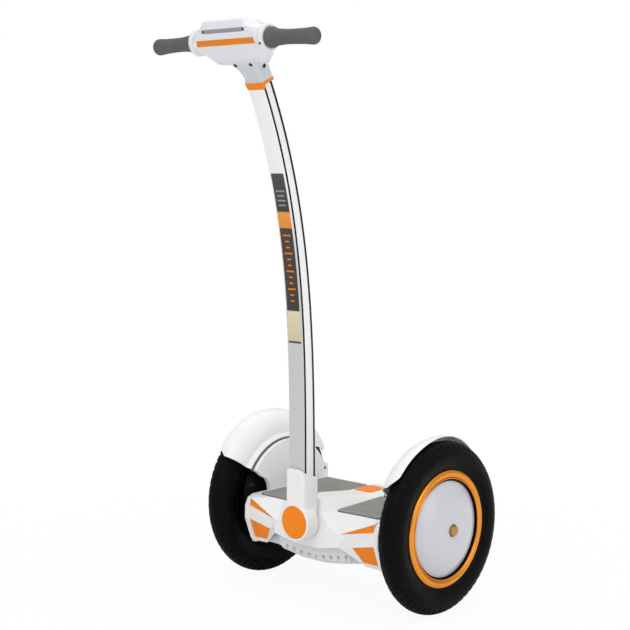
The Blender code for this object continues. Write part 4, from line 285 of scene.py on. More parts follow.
SHADE_SEAL_REAR_ANGLE = 140.0
SHADE_SEAL_PROFILE = (
    (0.1940, 0.1325),
    (0.1940, 0.1372),
    (0.1930, 0.1372),
    (0.1922, 0.1350),
    (0.1896, 0.1344),
    (0.1896, 0.1325),
)

# Button-head screws: share of the height, share of the radius, whether six-sided
SCREW_LEVELS = (
    (-1.0, 1.0, False),
    (0.0, 1.0, False),
    (0.55, 0.93, False),
    (0.9, 0.72, False),
    (1.0, 0.56, False),
    (0.96, 0.46, True),
    (0.1, 0.4416, True),
)


# Procedural materials


def add_node(tree, kind, links=None, values=None, **settings):
    """Adds a node, sets its fields and values, and links its inputs."""
    made = tree.nodes.new(kind)
    for field, value in settings.items():
        setattr(made, field, value)
    for socket, value in (values or {}).items():
        made.inputs[socket].default_value = value
    for socket, source in (links or {}).items():
        tree.links.new(source, made.inputs[socket])
    return made


def map_range(tree, source, start, end, low, high, **settings):
    """Maps a value from one range onto another."""
    values = {"From Min": start, "From Max": end, "To Min": low, "To Max": high}
    made = add_node(tree, "ShaderNodeMapRange", {"Value": source}, values, **settings)
    return made.outputs["Result"]


def show_mix(tree, share, first, second, out):
    """Mixes two shaders by a share and shows the result."""
    mix = add_node(tree, "ShaderNodeMixShader", {"Fac": share, 1: first, 2: second})
    tree.links.new(mix.outputs["Shader"], out.inputs["Surface"])


def camera_ray(tree):
    """1 where the camera looks straight at the surface, else 0."""
    return add_node(tree, "ShaderNodeLightPath").outputs["Is Camera Ray"]


class Paint:
    """Builds the nodes of one Principled material."""

    def __init__(self, name, colour, roughness, metallic=0.0):
        self.material = bpy.data.materials.new(name)
        self.material.use_nodes = True
        self.material.diffuse_color = (*colour, 1.0)
        self.tree = self.material.node_tree
        self.shader = self.tree.nodes["Principled BSDF"]
        self.colour = colour
        self.roughness = roughness
        self.set({"Base Color": (*colour, 1.0), "Roughness": roughness, "Metallic": metallic})
        self.place = self.node("ShaderNodeTexCoord").outputs["Object"]
        self.normal = None

    def set(self, values):
        """Sets some of the shader's plain values."""
        for socket, value in values.items():
            self.shader.inputs[socket].default_value = value

    def link(self, source, socket):
        """Feeds one of the shader's inputs from a node."""
        self.tree.links.new(source, self.shader.inputs[socket])

    def node(self, kind, links=None, values=None, **settings):
        """Adds a node to this material."""
        return add_node(self.tree, kind, links, values, **settings)

    def along(self, axis):
        """One of the object's own coordinates."""
        return self.node("ShaderNodeSeparateXYZ", {"Vector": self.place}).outputs[axis]

    def noise(self, scale, detail, stretch=None):
        """Noise over the object's own coordinates, stretched along an axis if asked."""
        place = self.place
        if stretch:
            mapping = self.node("ShaderNodeMapping", {"Vector": place}, {"Scale": stretch})
            place = mapping.outputs["Vector"]
        values = {"Scale": scale, "Detail": detail}
        return self.node("ShaderNodeTexNoise", {"Vector": place}, values).outputs["Fac"]

    def ranged(self, source, start=0.2, end=0.8, low=0.0, high=1.0):
        """Maps a value's middle range onto another range, with eased ends."""
        return map_range(self.tree, source, start, end, low, high, interpolation_type="SMOOTHSTEP")

    def shade(self, share, first, second):
        """Gives the shader a mix of two colours, each a plain colour or a link."""
        made = self.node("ShaderNodeMix", {"Factor": share}, data_type="RGBA")
        for socket, colour in (("A", first), ("B", second)):
            fitting = [entry for entry in made.inputs if entry.type == "RGBA"]
            target = [entry for entry in fitting if entry.name == socket][0]
            if isinstance(colour, tuple):
                target.default_value = (*colour, 1.0)
            else:
                self.tree.links.new(colour, target)
        result = [entry for entry in made.outputs if entry.type == "RGBA"][0]
        self.link(result, "Base Color")
        return result

    def tint(self, amount, scale):
        """Lets the base colour drift a little over the surface."""
        darker = tuple(value * (1 - amount) for value in self.colour)
        return self.shade(self.ranged(self.noise(scale, 3.0)), darker, self.colour)

    def rough(self, spread, scale, stretch=None):
        """Lets the roughness drift, as handling and moulding leave it."""
        drift = self.noise(scale, 4.0, stretch)
        low, high = self.roughness - spread, self.roughness + spread
        self.link(self.ranged(drift, low=low, high=high), "Roughness")

    def bump(self, height, strength, distance):
        """Adds a bump from a height."""
        values = {"Strength": strength, "Distance": distance}
        made = self.node("ShaderNodeBump", {"Height": height}, values)
        self.link(made.outputs["Normal"], "Normal")

    def grain(self, scale, detail, strength, distance, stretch=None):
        """Adds a fine bump from noise."""
        self.bump(self.noise(scale, detail, stretch), strength, distance)


def plastic(name, colour, roughness, grain=0.05, coat=0.0, gloss=0.5):
    """Moulded plastic: faint grain and uneven gloss."""
    paint = Paint(name, colour, roughness)
    paint.tint(0.02, 5.0)
    paint.rough(0.03, 18.0)
    paint.grain(1400.0, 2.0, grain, 0.00006)
    paint.set({"Specular IOR Level": gloss, "Coat Weight": coat, "Coat Roughness": 0.08})
    return paint.material


def rubber(name, colour, roughness, grain=0.35, gloss=0.25):
    """Matt rubber with a fine pebble grain and a little dust."""
    paint = Paint(name, colour, roughness)
    dust = tuple(value * 1.25 + 0.001 for value in colour)
    paint.shade(paint.ranged(paint.noise(26.0, 6.0), 0.45, 0.75, 0.0, 0.55), colour, dust)
    paint.rough(0.06, 60.0)
    paint.grain(1500.0, 3.0, grain, 0.00015)
    paint.set({"Specular IOR Level": gloss})
    return paint.material


def metal(name, colour, roughness, metallic=1.0):
    """Metal with a brushed unevenness."""
    paint = Paint(name, colour, roughness, metallic)
    paint.tint(0.06, 14.0)
    paint.rough(0.04, 40.0)
    paint.grain(900.0, 3.0, 0.10, 0.00008)
    return paint.material


def cast_metal(name, colour, roughness):
    """Cast alloy with a sandy skin."""
    paint = Paint(name, colour, roughness, 0.75)
    paint.tint(0.12, 20.0)
    paint.rough(0.08, 90.0)
    paint.grain(700.0, 4.0, 0.35, 0.0003)
    return paint.material


def windings(name):
    """Copper wire wound round the stator's teeth."""
    paint = Paint(name, (0.50, 0.17, 0.06), 0.38, 0.9)
    values = {"Scale": 260.0, "Distortion": 0.6}
    wave = paint.node("ShaderNodeTexWave", {"Vector": paint.place}, values)
    paint.bump(wave.outputs["Fac"], 0.8, 0.0006)
    paint.tint(0.25, 60.0)
    return paint.material


def circuit(name):
    """Green solder mask with faint tracks."""
    paint = Paint(name, (0.015, 0.13, 0.05), 0.35)
    links, values = {"Vector": paint.place}, {"Scale": 180.0}
    cells = paint.node("ShaderNodeTexVoronoi", links, values, feature="DISTANCE_TO_EDGE")
    share = paint.ranged(cells.outputs["Distance"], 0.02, 0.06)
    paint.shade(share, (0.30, 0.22, 0.06), paint.colour)
    paint.rough(0.05, 120.0)
    return paint.material


def decal_paint(name):
    """Generic panel print: dark field, pale bars, an orange block and a cream block, by height."""
    dark = (0.020, 0.012, 0.008)
    paint = Paint(name, dark, 0.34)
    share = map_range(paint.tree, paint.along("Z"), DECAL_LOW_Z, DECAL_TOP_Z, 0.0, 1.0)
    ramp = paint.node("ShaderNodeValToRGB", {"Fac": share})
    stops = [
        (0.000, dark),
        (0.010, dark),
        (0.013, (0.66, 0.56, 0.36)),
        (0.190, (0.74, 0.66, 0.48)),
        (0.194, dark),
        (0.680, (0.030, 0.016, 0.010)),
        (0.684, (0.80, 0.24, 0.01)),
        (0.775, (0.86, 0.30, 0.02)),
        (0.779, dark),
        (1.000, (0.040, 0.036, 0.034)),
    ]
    elements = ramp.color_ramp.elements
    while len(elements) < len(stops):
        elements.new(0.5)
    for element, (position, colour) in zip(elements, stops):
        element.position = position
        element.color = (*colour, 1.0)
    paint.link(ramp.outputs["Color"], "Base Color")
    paint.rough(0.05, 80.0)
    paint.set({"Coat Weight": 0.25})
    return paint.material


def anodised_ring(name):
    """Orange anodised metal on the wheel's outer side and black behind it, with painted shade that
    blackens the inside of its throat.
    """
    paint = Paint(name, (0.86, 0.32, 0.035), 0.24, 1.0)
    warm = paint.tint(0.06, 14.0)
    across = paint.node("ShaderNodeMath", {0: paint.along("X")}, operation="ABSOLUTE")
    face = WHEEL_X + RIM_WIDTH * 0.28
    outer_side = paint.ranged(across.outputs["Value"], face - 0.0004, face + 0.0004)
    spot = paint.place
    for operation, value in (("SUBTRACT", (0.0, AXLE_Y, AXLE_Z)), ("MULTIPLY", (0.0, 1.0, 1.0))):
        made = paint.node("ShaderNodeVectorMath", {0: spot}, {1: value}, operation=operation)
        spot = made.outputs["Vector"]
    reach = paint.node("ShaderNodeVectorMath", {0: spot}, operation="LENGTH").outputs["Value"]
    # painted shade: the throat's inner wall is black, as dark as the shadow in the gap to the cover
    edge = RIM_THROAT_RADIUS - 0.0004
    clear_of_throat_shade = paint.ranged(reach, edge - 0.0003, edge + 0.0003)
    share = paint.node("ShaderNodeMath", {0: outer_side, 1: clear_of_throat_shade}, operation="MULTIPLY")
    paint.shade(share.outputs["Value"], (0.004, 0.004, 0.0045), warm)
    paint.rough(0.04, 40.0)
    paint.grain(900.0, 3.0, 0.05, 0.00008)
    return paint.material


def panel_with_painted_light(name):
    """Satin lacquer with painted light: a painted reflection makes the column's top white and
    painted shade makes it greyer towards its foot.
    """
    paint = Paint(name, (0.80, 0.80, 0.81), 0.36, 0.15)
    # painted reflection at the top and painted shade towards the foot, by height
    share = paint.ranged(paint.along("Z"), 0.66, 0.98)
    paint.shade(share, (0.60, 0.605, 0.61), (0.93, 0.93, 0.93))
    upright = (1.0, 1.0, 0.04)
    paint.rough(0.03, 40.0, upright)
    paint.grain(900.0, 3.0, 0.03, 0.00008, upright)
    return paint.material


def head_with_painted_shade(name):
    """Moulded head plastic whose blue-grey is partly painted shade, with more painted shade that
    makes the neck below the screws a little greyer.
    """
    paint = Paint(name, (0.76, 0.775, 0.80), 0.28)
    # painted shade: greyer on the neck below the screws, lighter above
    share = paint.ranged(paint.along("Z"), BAR_Z - 0.056, BAR_Z - 0.030)
    paint.shade(share, (0.63, 0.65, 0.68), (0.77, 0.785, 0.81))
    paint.rough(0.03, 18.0)
    paint.grain(1400.0, 2.0, 0.05, 0.00006)
    paint.set({"Coat Weight": 0.1, "Coat Roughness": 0.08})
    return paint.material


PAINTS = {
    "white": plastic("white_gloss_plastic", (0.88, 0.88, 0.885), 0.30, coat=0.1),
    "head": head_with_painted_shade("head_gloss_plastic"),
    "shade": plastic("pale_grey_plastic", (0.78, 0.785, 0.80), 0.42),
    "pearl": plastic("pearl_cover", (0.60, 0.60, 0.66), 0.22, 0.02, coat=0.6),
    "orange": plastic("orange_plastic", (0.95, 0.245, 0.004), 0.40, gloss=0.2),
    "stripe": plastic("orange_stripe", (0.82, 0.225, 0.004), 0.36, gloss=0.2),
    "gold": anodised_ring("orange_anodised"),
    "tyre": rubber("tyre_rubber", (0.0022, 0.0022, 0.0024), 0.46, gloss=0.07),
    "mat": rubber("grey_mat_rubber", (0.305, 0.305, 0.285), 0.80, gloss=0.2),
    "mat_edge": rubber("dark_mat_edge", (0.060, 0.060, 0.062), 0.70, gloss=0.2),
    "grip": rubber("dark_grey_grip_rubber", (0.110, 0.110, 0.112), 0.72, 0.5, gloss=0.2),
    "black": plastic("black_plastic", (0.006, 0.006, 0.0065), 0.42, gloss=0.25),
    "silver": panel_with_painted_light("satin_panel_painted_light"),
    "strip": plastic("bright_strip", (0.90, 0.90, 0.905), 0.22, 0.02, coat=0.3),
    # dark grey that paints the shadow in the seams between the shields and the fenders
    "seal": rubber("grey_gap_shade_seal", (0.13, 0.13, 0.135), 0.70, gloss=0.2),
    "alloy": cast_metal("cast_alloy", (0.52, 0.53, 0.55), 0.46),
    "inner": plastic("black_inner_cover", (0.005, 0.005, 0.0055), 0.50, gloss=0.15),
    "steel": metal("steel", (0.42, 0.42, 0.44), 0.34),
    "dark_steel": metal("dark_screw_steel", (0.10, 0.10, 0.11), 0.40),
    "black_steel": metal("black_screw_steel", (0.030, 0.030, 0.033), 0.45, 0.6),
    "brass": metal("brass", (0.46, 0.30, 0.075), 0.30, 0.95),
    "copper": windings("copper_windings"),
    "battery": plastic("battery_wrap", (0.03, 0.10, 0.28), 0.30, 0.2),
    "board": circuit("controller_board"),
    "lens": plastic("light_lens", (0.27, 0.28, 0.30), 0.16, 0.02, coat=0.5),
    "glass": plastic("display_glass", (0.010, 0.011, 0.013), 0.06, 0.01, coat=1.0),
    "decal": decal_paint("column_panel_print"),
}


# Mesh helpers


def skin(rings, closed=False):
    """A bmesh skin through rings of points in the axle frame, capped unless it closes on itself."""
    bm = bmesh.new()
    rows = [[bm.verts.new((p[0], p[1] + AXLE_Y, p[2])) for p in ring] for ring in rings]
    pairs = list(zip(rows, rows[1:]))
    if closed:
        pairs.append((rows[-1], rows[0]))
    for low, high in pairs:
        for k, first in enumerate(low):
            after = (k + 1) % len(low)
            bm.faces.new((first, low[after], high[after], high[k]))
    if not closed:
        bm.faces.new(rows[0][::-1])
        bm.faces.new(rows[-1])
    return bm


def merged(parts):
    """One bmesh that holds several shapes."""
    whole = bmesh.new()
    for part in parts:
        mesh = bpy.data.meshes.new("loose")
        part.to_mesh(mesh)
        part.free()
        whole.from_mesh(mesh)
        bpy.data.meshes.remove(mesh)
    return whole


def new_object(name, data):
    """An object in the scene."""
    made = bpy.data.objects.new(name, data)
    bpy.context.scene.collection.objects.link(made)
    return made


def made_object(name, bm, finish=None, smooth=35.0):
    """Turns a bmesh into an object with outward faces and hard edges above an angle."""
    bmesh.ops.remove_doubles(bm, verts=bm.verts, dist=1e-6)
    bmesh.ops.dissolve_degenerate(bm, edges=bm.edges, dist=1e-6)
    bmesh.ops.recalc_face_normals(bm, faces=bm.faces)
    mesh = bpy.data.meshes.new(name)
    bm.to_mesh(mesh)
    bm.free()
    if finish:
        mesh.materials.append(PAINTS[finish])
    if smooth:
        mesh.shade_smooth()
        mesh.set_sharp_from_angle(angle=math.radians(smooth))
    return new_object(name, mesh)


def piece(name, bm, finish, body, *replaced, smooth=35.0):
    """A finished piece that rides on a body and stands for CAD nodes."""
    made = made_object(name, bm, finish, smooth)
    settle(made, body, *replaced)
    return made


def settle(made, body, *replaced):
    """Ties a piece to its body and hides the CAD nodes that it stands for."""
    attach(made, body)
    if replaced:
        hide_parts(*replaced)


def carve(made, steps, smooth=35.0):
    """Runs Boolean steps of (operation, bmesh) on an object and keeps the result as its mesh."""
    for operation, bm in steps:
        tool = made_object("tool", bm, smooth=0)
        step = made.modifiers.new("step", "BOOLEAN")
        step.operation = operation
        step.solver = "EXACT"
        step.object = tool
        bpy.context.view_layer.update()
        graph = bpy.context.evaluated_depsgraph_get()
        result = bpy.data.meshes.new_from_object(made.evaluated_get(graph))
        old = made.data
        made.modifiers.clear()
        made.data = result
        bpy.data.meshes.remove(old)
        shape = tool.data
        bpy.data.objects.remove(tool)
        bpy.data.meshes.remove(shape)
    made.data.shade_smooth()
    made.data.set_sharp_from_angle(angle=math.radians(smooth))
    even_normals(made, True)


def even_normals(made, keep_sharp):
    """Shades each large face flat up to its rounded edges."""
    weighted = made.modifiers.new("weighted", "WEIGHTED_NORMAL")
    weighted.weight = 100
    weighted.keep_sharp = keep_sharp


def rounded_edges(made, width, limit, clamped):
    """Rounds an object's edges by a bevel, limited by their angle or their weight."""
    bevel = made.modifiers.new("bevel", "BEVEL")
    bevel.width = width
    bevel.segments = 3
    bevel.limit_method = limit
    bevel.angle_limit = math.radians(EDGE_ANGLE)
    bevel.use_clamp_overlap = clamped
    even_normals(made, False)


def blend(first, second, share):
    """The value that lies between two values or points."""
    return first + (second - first) * share


def eased(share):
    """A share from 0 to 1 that starts and ends gently."""
    share = min(1.0, max(0.0, share))
    return share * share * (3 - 2 * share)


def curved(before, start, end, after, share):
    """A point on the smooth curve through four values."""
    second, third = share * share, share**3
    value = start * 2 + (end - before) * share
    value += (before * 2 - start * 5 + end * 4 - after) * second
    value += (start * 3 - before - end * 3 + after) * third
    return value * 0.5


def soften(corners, radius, steps=4):
    """Rounds the corners of a flat closed outline, each by at most half of its shorter side."""
    found = []
    count = len(corners)
    for k, corner in enumerate(corners):
        here = Vector(corner)
        back = Vector(corners[k - 1]) - here
        ahead = Vector(corners[(k + 1) % count]) - here
        reach = min(radius, back.length * 0.48, ahead.length * 0.48)
        start = here + back.normalized() * reach
        end = here + ahead.normalized() * reach
        for step in range(steps + 1):
            share = step / steps
            found.append(tuple(blend(blend(start, here, share), blend(here, end, share), share)))
    return found


def turns(count, first=0.0):
    """Angles evenly spaced round a full turn, from a first step."""
    return [2 * math.pi * (k + first) / count for k in range(count)]


def spun(along, radius, angle):
    """A profile's point, spun about X."""
    return Vector((along, radius * math.cos(angle), radius * math.sin(angle)))


def lathed(profiles, centre, turn=None):
    """Closed (along, radius) profiles set evenly about X, then turned and moved to a centre."""
    turn = turn or Matrix.Identity(3)
    rings = []
    for angle, profile in zip(turns(len(profiles)), profiles):
        spots = [turn @ spun(along, radius, angle) for along, radius in profile]
        rings.append([(centre[0] + s.x, centre[1] + s.y, centre[2] + s.z) for s in spots])
    return skin(rings, closed=True)


def revolved(profile, steps, centre, turn=None):
    """One closed (along, radius) profile revolved about X, then turned and moved to a centre."""
    return lathed([profile] * steps, centre, turn)


def facing(direction):
    """A turn that takes +X to a direction."""
    return Vector((1, 0, 0)).rotation_difference(Vector(direction).normalized()).to_matrix()


def flipped(profile, side):
    """Mirrors a profile for the other side of the scooter."""
    return [(side * along, radius) for along, radius in profile]


def hexagon(angle):
    """Reach of a hexagon's side at an angle, as a share of the reach of its corners."""
    return math.cos(math.pi / 6) / math.cos(angle % (math.pi / 3) - math.pi / 6)


def screw(centre, direction, size):
    """A low button-head screw of a (radius, height) size, with a hexagon socket, as one bmesh."""
    turn = facing(direction)
    radius, height = size
    rings = []
    for rise, share, six_sided in SCREW_LEVELS:
        ring = []
        for angle in turns(48):
            reach = radius * share * (hexagon(angle) if six_sided else 1.0)
            ring.append(tuple(turn @ spun(height * rise, reach, angle) + Vector(centre)))
        rings.append(ring)
    return skin(rings)


# Wheels


def tread_wave(around):
    """A wave that falls from 1 to 0 and rises again within one tread repeat."""
    return abs((around % 1.0) - 0.5) * 2


def ridge(distance, half_width):
    """An eased ridge, 1 at its middle and 0 from its half width on."""
    return eased(1 - abs(distance) / half_width)


def tread_depth(angle, around):
    """How far the tyre's skin is drawn in at a section angle and a share of one tread repeat."""
    off_crown = abs(angle - 90)
    depth = RING_GROOVE_DEPTH * ridge(off_crown - RING_GROOVE_ANGLE, RING_GROOVE_HALF_WIDTH)
    if CROWN_ANGLE < off_crown < SHOULDER_ANGLE:
        wave = tread_wave(around + (off_crown - CROWN_ANGLE) * GROOVE_SLANT)
        ends = eased((off_crown - CROWN_ANGLE) / 4) * eased((SHOULDER_ANGLE - off_crown) / 5)
        depth += GROOVE_DEPTH * eased((wave - 0.62) / 0.2) * ends
    if off_crown < CROWN_ANGLE:
        wave = tread_wave(around + off_crown * SIPE_SLANT)
        depth += SIPE_DEPTH * eased((wave - 0.72) / 0.18) * eased((SIPE_END_ANGLE - off_crown) / 6)
    for place, height, half_width in SIDEWALL_RINGS:
        depth -= height * ridge(angle - place, half_width)
    return depth


def tyre(side, label):
    """Pneumatic tyre with tread blocks, shoulder grooves and raised sidewall rings."""
    half = TYRE_WIDTH / 2 - 0.0004
    reach = (TYRE_RADIUS - RIM_SEAT_RADIUS) / 2
    middle = TYRE_RADIUS - reach
    bead = RIM_WIDTH / 2 - 0.0035
    seat, flange = RIM_SEAT_RADIUS + GAP, RIM_FLANGE_RADIUS
    edge = [(bead, seat), (bead, flange + 0.0004), (bead + 0.0008, flange + 0.0030)]
    inner = [(bead - BEAD_WIDTH, seat), (half - TYRE_WALL, middle)]
    hollow = flipped(edge[::-1] + inner, -1) + [(0, TYRE_RADIUS - TREAD_THICKNESS)] + inner[::-1]
    first, sweep, count = TREAD_SECTION
    profiles = []
    for step in range(TREAD_REPEATS * TREAD_SAMPLES):
        around = step / TREAD_SAMPLES
        profile = list(edge)
        for k in range(count + 1):
            angle = first + sweep * k / count
            lean = math.radians(angle)
            drawn = tread_depth(angle, around + (0.5 if angle > 90 else 0.0))
            along = (half - drawn) * math.cos(lean)
            profile.append((along, middle + (reach - drawn) * math.sin(lean)))
        profile += hollow
        profiles.append([(side * (WHEEL_X + along), radius) for along, radius in profile])
    bm = lathed(profiles, (0, 0, AXLE_Z))
    piece(f"{label}_tyre_treaded", bm, "tyre", f"{label}_wheel", f"{label}_tyre", smooth=50)


def rim(side, label):
    """Alloy rim with rolled lips, a machined throat and a bead well."""
    half = RIM_WIDTH / 2
    throat, flange = RIM_THROAT_RADIUS, RIM_FLANGE_RADIUS
    profile = [
        (half - 0.0030, RIM_BORE_RADIUS),
        (half - 0.0030, throat - 0.0012),
        (half - 0.0012, throat - 0.0002),
        (half - 0.0012, throat + 0.0012),
        (half - 0.0036, throat + 0.0026),
    ]
    middle, reach = (throat + flange + 0.0026) / 2, (flange - throat) / 2
    for k in range(1, 12):
        lean = math.pi * k / 12
        along = half - 0.0036 + 0.0040 * math.sin(lean)
        profile.append((along, middle - (reach - 0.0013) * math.cos(lean)))
    profile += [(half - 0.0034, flange), (half - 0.0035, RIM_SEAT_RADIUS)]
    profile.append((half - RIM_WELL[0], RIM_WELL[1]))
    profile += flipped(profile[::-1], -1)
    bm = revolved(profile, WHEEL_STEPS, (side * WHEEL_X, 0, AXLE_Z))
    piece(f"{label}_rim_fine", bm, "gold", f"{label}_wheel", f"{label}_rim", smooth=40)


def cover_height(dome, share):
    """Height of a motor cover at a share of the way from its hole to its edge."""
    rise = dome + COVER_EDGE_INSET
    return RIM_WIDTH / 2 - COVER_EDGE_INSET + rise * (1 - share**COVER_CURVE)


def motor_covers(side, label):
    """Domed outer cover with a recess round the nut, the inner cover, and a black seal round each,
    whose black is also painted shade for the gap to the rim.
    """
    centre = (side * WHEEL_X, 0, AXLE_Z)
    edge = RIM_WIDTH / 2 - COVER_EDGE_INSET
    for name, finish, dome, hole, way in (
        ("motor_cover", "pearl", OUTER_DOME, NUT_RADIUS + 0.0015, side),
        ("inner_cover", "inner", INNER_DOME, INNER_HOLE_RADIUS, -side),
    ):
        cover = []
        for k in range(29):
            radius = blend(hole, COVER_RADIUS - 0.0012, k / 28)
            height = cover_height(dome, k / 28)
            if name == "motor_cover":
                height -= RECESS_DEPTH * ridge(radius - RECESS_RADIUS, RECESS_HALF_WIDTH)
            cover.append((height, radius))
        for drop, inset in ((0.0006, 0), (0.0040, 0), (0.0040, COVER_WALL)):
            cover.append((edge - drop, COVER_RADIUS - inset))
        for share in (0.8, 0.0):
            radius = blend(hole, COVER_RADIUS - COVER_WALL, share)
            cover.append((cover_height(dome, share) - COVER_WALL, radius))
        # a seal set into the gap to the rim, black partly as painted shade for that gap
        seal = [
            (edge - 0.0034, COVER_RADIUS + 0.0002),
            (edge - 0.0010, COVER_RADIUS + 0.0004),
            (edge - 0.0010, RIM_BORE_RADIUS - 0.0002),
            (edge - 0.0034, RIM_BORE_RADIUS - 0.0002),
        ]
        name, body = f"{label}_{name}", f"{label}_wheel"
        bm = revolved(flipped(cover, way), WHEEL_STEPS, centre)
        piece(f"{name}_domed", bm, finish, body, name, smooth=40)
        bm = revolved(flipped(seal, way), 96, centre)
        piece(f"{name}_seal", bm, "black", body, smooth=40)


def cover_screws(side, label):
    """The ring of screws in the inner motor cover."""
    radius = blend(INNER_HOLE_RADIUS, COVER_RADIUS, COVER_SCREW_SHARE)
    x = side * (WHEEL_X - cover_height(INNER_DOME, COVER_SCREW_SHARE) - 0.0004)
    screws = []
    for angle in turns(COVER_SCREWS, 0.5):
        y, z = math.cos(angle), math.sin(angle)
        spot = (x, radius * y, AXLE_Z + radius * z)
        screws.append(screw(spot, (-side, 0.35 * y, 0.35 * z), COVER_SCREW_SIZE))
    piece(f"{label}_inner_cover_screws", merged(screws), "dark_steel", f"{label}_wheel")


def axle_nut(side, label):
    """Brass cap nut with a washer face, six flats and a crowned top."""
    low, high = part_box(f"{label}_axle_nut")
    tip = high.x if side > 0 else -low.x
    rings = []
    for drop, inset, flats in NUT_LEVELS:
        ring = []
        for angle in turns(72):
            flat = min(1.0, hexagon(angle) * NUT_FLAT_REACH)
            reach = (NUT_RADIUS - inset) * blend(1.0, flat, flats)
            y, z = reach * math.cos(angle), AXLE_Z + reach * math.sin(angle)
            ring.append((side * (tip - drop), y, z))
        rings.append(ring)
    piece(f"{label}_axle_nut_fine", skin(rings), "brass", "base", f"{label}_axle_nut", smooth=28)


def over_wheel(side, x, radius, degrees):
    """A point at a distance from the middle plane and a radius, at an angle from the front."""
    turn = math.radians(degrees)
    return side * x, -radius * math.cos(turn), AXLE_Z + radius * math.sin(turn)


def on_arc(reach, degrees):
    """An (across, radius) point of the fender's section, at a reach from the arc's middle."""
    lean = math.radians(degrees)
    middle = TYRE_RADIUS + FENDER_CROWN - FENDER_ARC_RADIUS
    return reach * math.cos(lean), middle + reach * math.sin(lean)


def fender_lip(angle):
    """Section angle of the outer lip at an angle along the wheel, drawn back at both ends."""
    into = min(1.0, (angle - FENDER_FRONT_ANGLE) / FENDER_FRONT_RUN)
    lip = blend(FENDER_FRONT_LIP_ANGLE, FENDER_LIP_ANGLE, math.sin(into * math.pi / 2))
    beyond = max(0.0, 1 - (FENDER_REAR_ANGLE - angle) / FENDER_REAR_RUN)
    return lip + (FENDER_REAR_LIP_ANGLE - FENDER_LIP_ANGLE) * beyond**FENDER_REAR_CURVE


def fender_bead(lip):
    """Rolled edge of the fender's section at its outer lip."""
    lean = math.radians(lip)
    base = Vector(on_arc(FENDER_ARC_RADIUS - FENDER_WALL / 2, lip))
    away = Vector((math.cos(lean), math.sin(lean)))
    push = -Vector((math.cos(lean + math.pi / 2), math.sin(lean + math.pi / 2)))
    found = []
    for k in range(1, 8):
        turn = math.pi * k / 8
        found.append(base + (away * math.cos(turn) + push * math.sin(turn)) * FENDER_WALL / 2)
    return found


def fender(side, label):
    """Mudguard with a rolled lip, drawn back in front and cut away behind."""
    root_x = FENDER_ROOT_X - WHEEL_X
    rings = []
    for step in range(FENDER_STEPS + 1):
        share = (step / FENDER_STEPS) ** FENDER_SPACING
        angle = blend(FENDER_FRONT_ANGLE, FENDER_REAR_ANGLE, share)
        lip = fender_lip(angle)
        cut = eased((angle - FENDER_CUT_ANGLE) / (FENDER_REAR_ANGLE - FENDER_CUT_ANGLE))
        near = min(1.0, cut * 4)
        begin = blend(FENDER_ARC_ANGLE, FENDER_CUT_LEAN, cut)
        skins = []
        for depth in (0, FENDER_WALL):
            reach = FENDER_ARC_RADIUS - depth
            spot = Vector(on_arc(reach, begin))
            flange = Vector((root_x + depth, FENDER_FLANGE_RADIUS))
            root = Vector((root_x + depth, FENDER_ROOT_RADIUS))
            found = [blend(flange, spot, near), blend(root, spot, near * 0.98)]
            found += [on_arc(reach, blend(begin, lip, k / 30)) for k in range(31)]
            skins.append(found)
        section = skins[0] + fender_bead(lip) + skins[1][::-1]
        rings.append([over_wheel(side, WHEEL_X + across, r, angle) for across, r in section])
    piece(f"{label}_fender_moulded", skin(rings), "white", "base", f"{label}_fender", smooth=32)


# Column


def column_frame(rise):
    """Front point, forward direction and depth of the column at a rise above the boot."""
    share = min(max(rise / COLUMN_SPAN, 0.0), 1.0)
    upward = Vector((0, -3 * COLUMN_REACH * share**2, COLUMN_SPAN)).normalized()
    forward = Vector((0, -upward.z, upward.y))
    front_y = COLUMN_FRONT_Y - COLUMN_REACH * share**3
    point = Vector((0, front_y, COLUMN_BOTTOM_Z + COLUMN_SPAN * share))
    point += upward * (rise - COLUMN_SPAN * share)
    return point, forward, blend(COLUMN_DEPTH_LOW, COLUMN_DEPTH_HIGH, share)


def column_rises(low, high, steps):
    """Evenly spaced rises between two heights, counted from the column's bottom."""
    return [blend(low, high, k / steps) - COLUMN_BOTTOM_Z for k in range(steps + 1)]


def column_rings(outline, rises):
    """Rings that follow the column, from an outline of (x, inset, share of the depth)."""
    rings = []
    for rise in rises:
        point, forward, depth = column_frame(rise)
        ring = []
        for x, inset, share in outline:
            ring.append(tuple(point + Vector((x, 0, 0)) - forward * (depth * share + inset)))
        rings.append(ring)
    return rings


def oblong(left, right, front, rear, share=1):
    """Four corners of a column outline; the rear ones are measured from a share of the depth."""
    return [(left, front, 0), (right, front, 0), (right, rear, share), (left, rear, share)]


def soft_section(corners, radius, steps=4):
    """Rounds a column outline whose corners are (x, inset, share), on the mean depth."""
    depth = (COLUMN_DEPTH_LOW + COLUMN_DEPTH_HIGH) / 2
    flat = [(x, inset + depth * share) for x, inset, share in corners]
    found = []
    for x, inset in soften(flat, radius, steps):
        share = 1.0 if inset > depth / 2 else 0.0
        found.append((x, inset - depth * share, share))
    return found


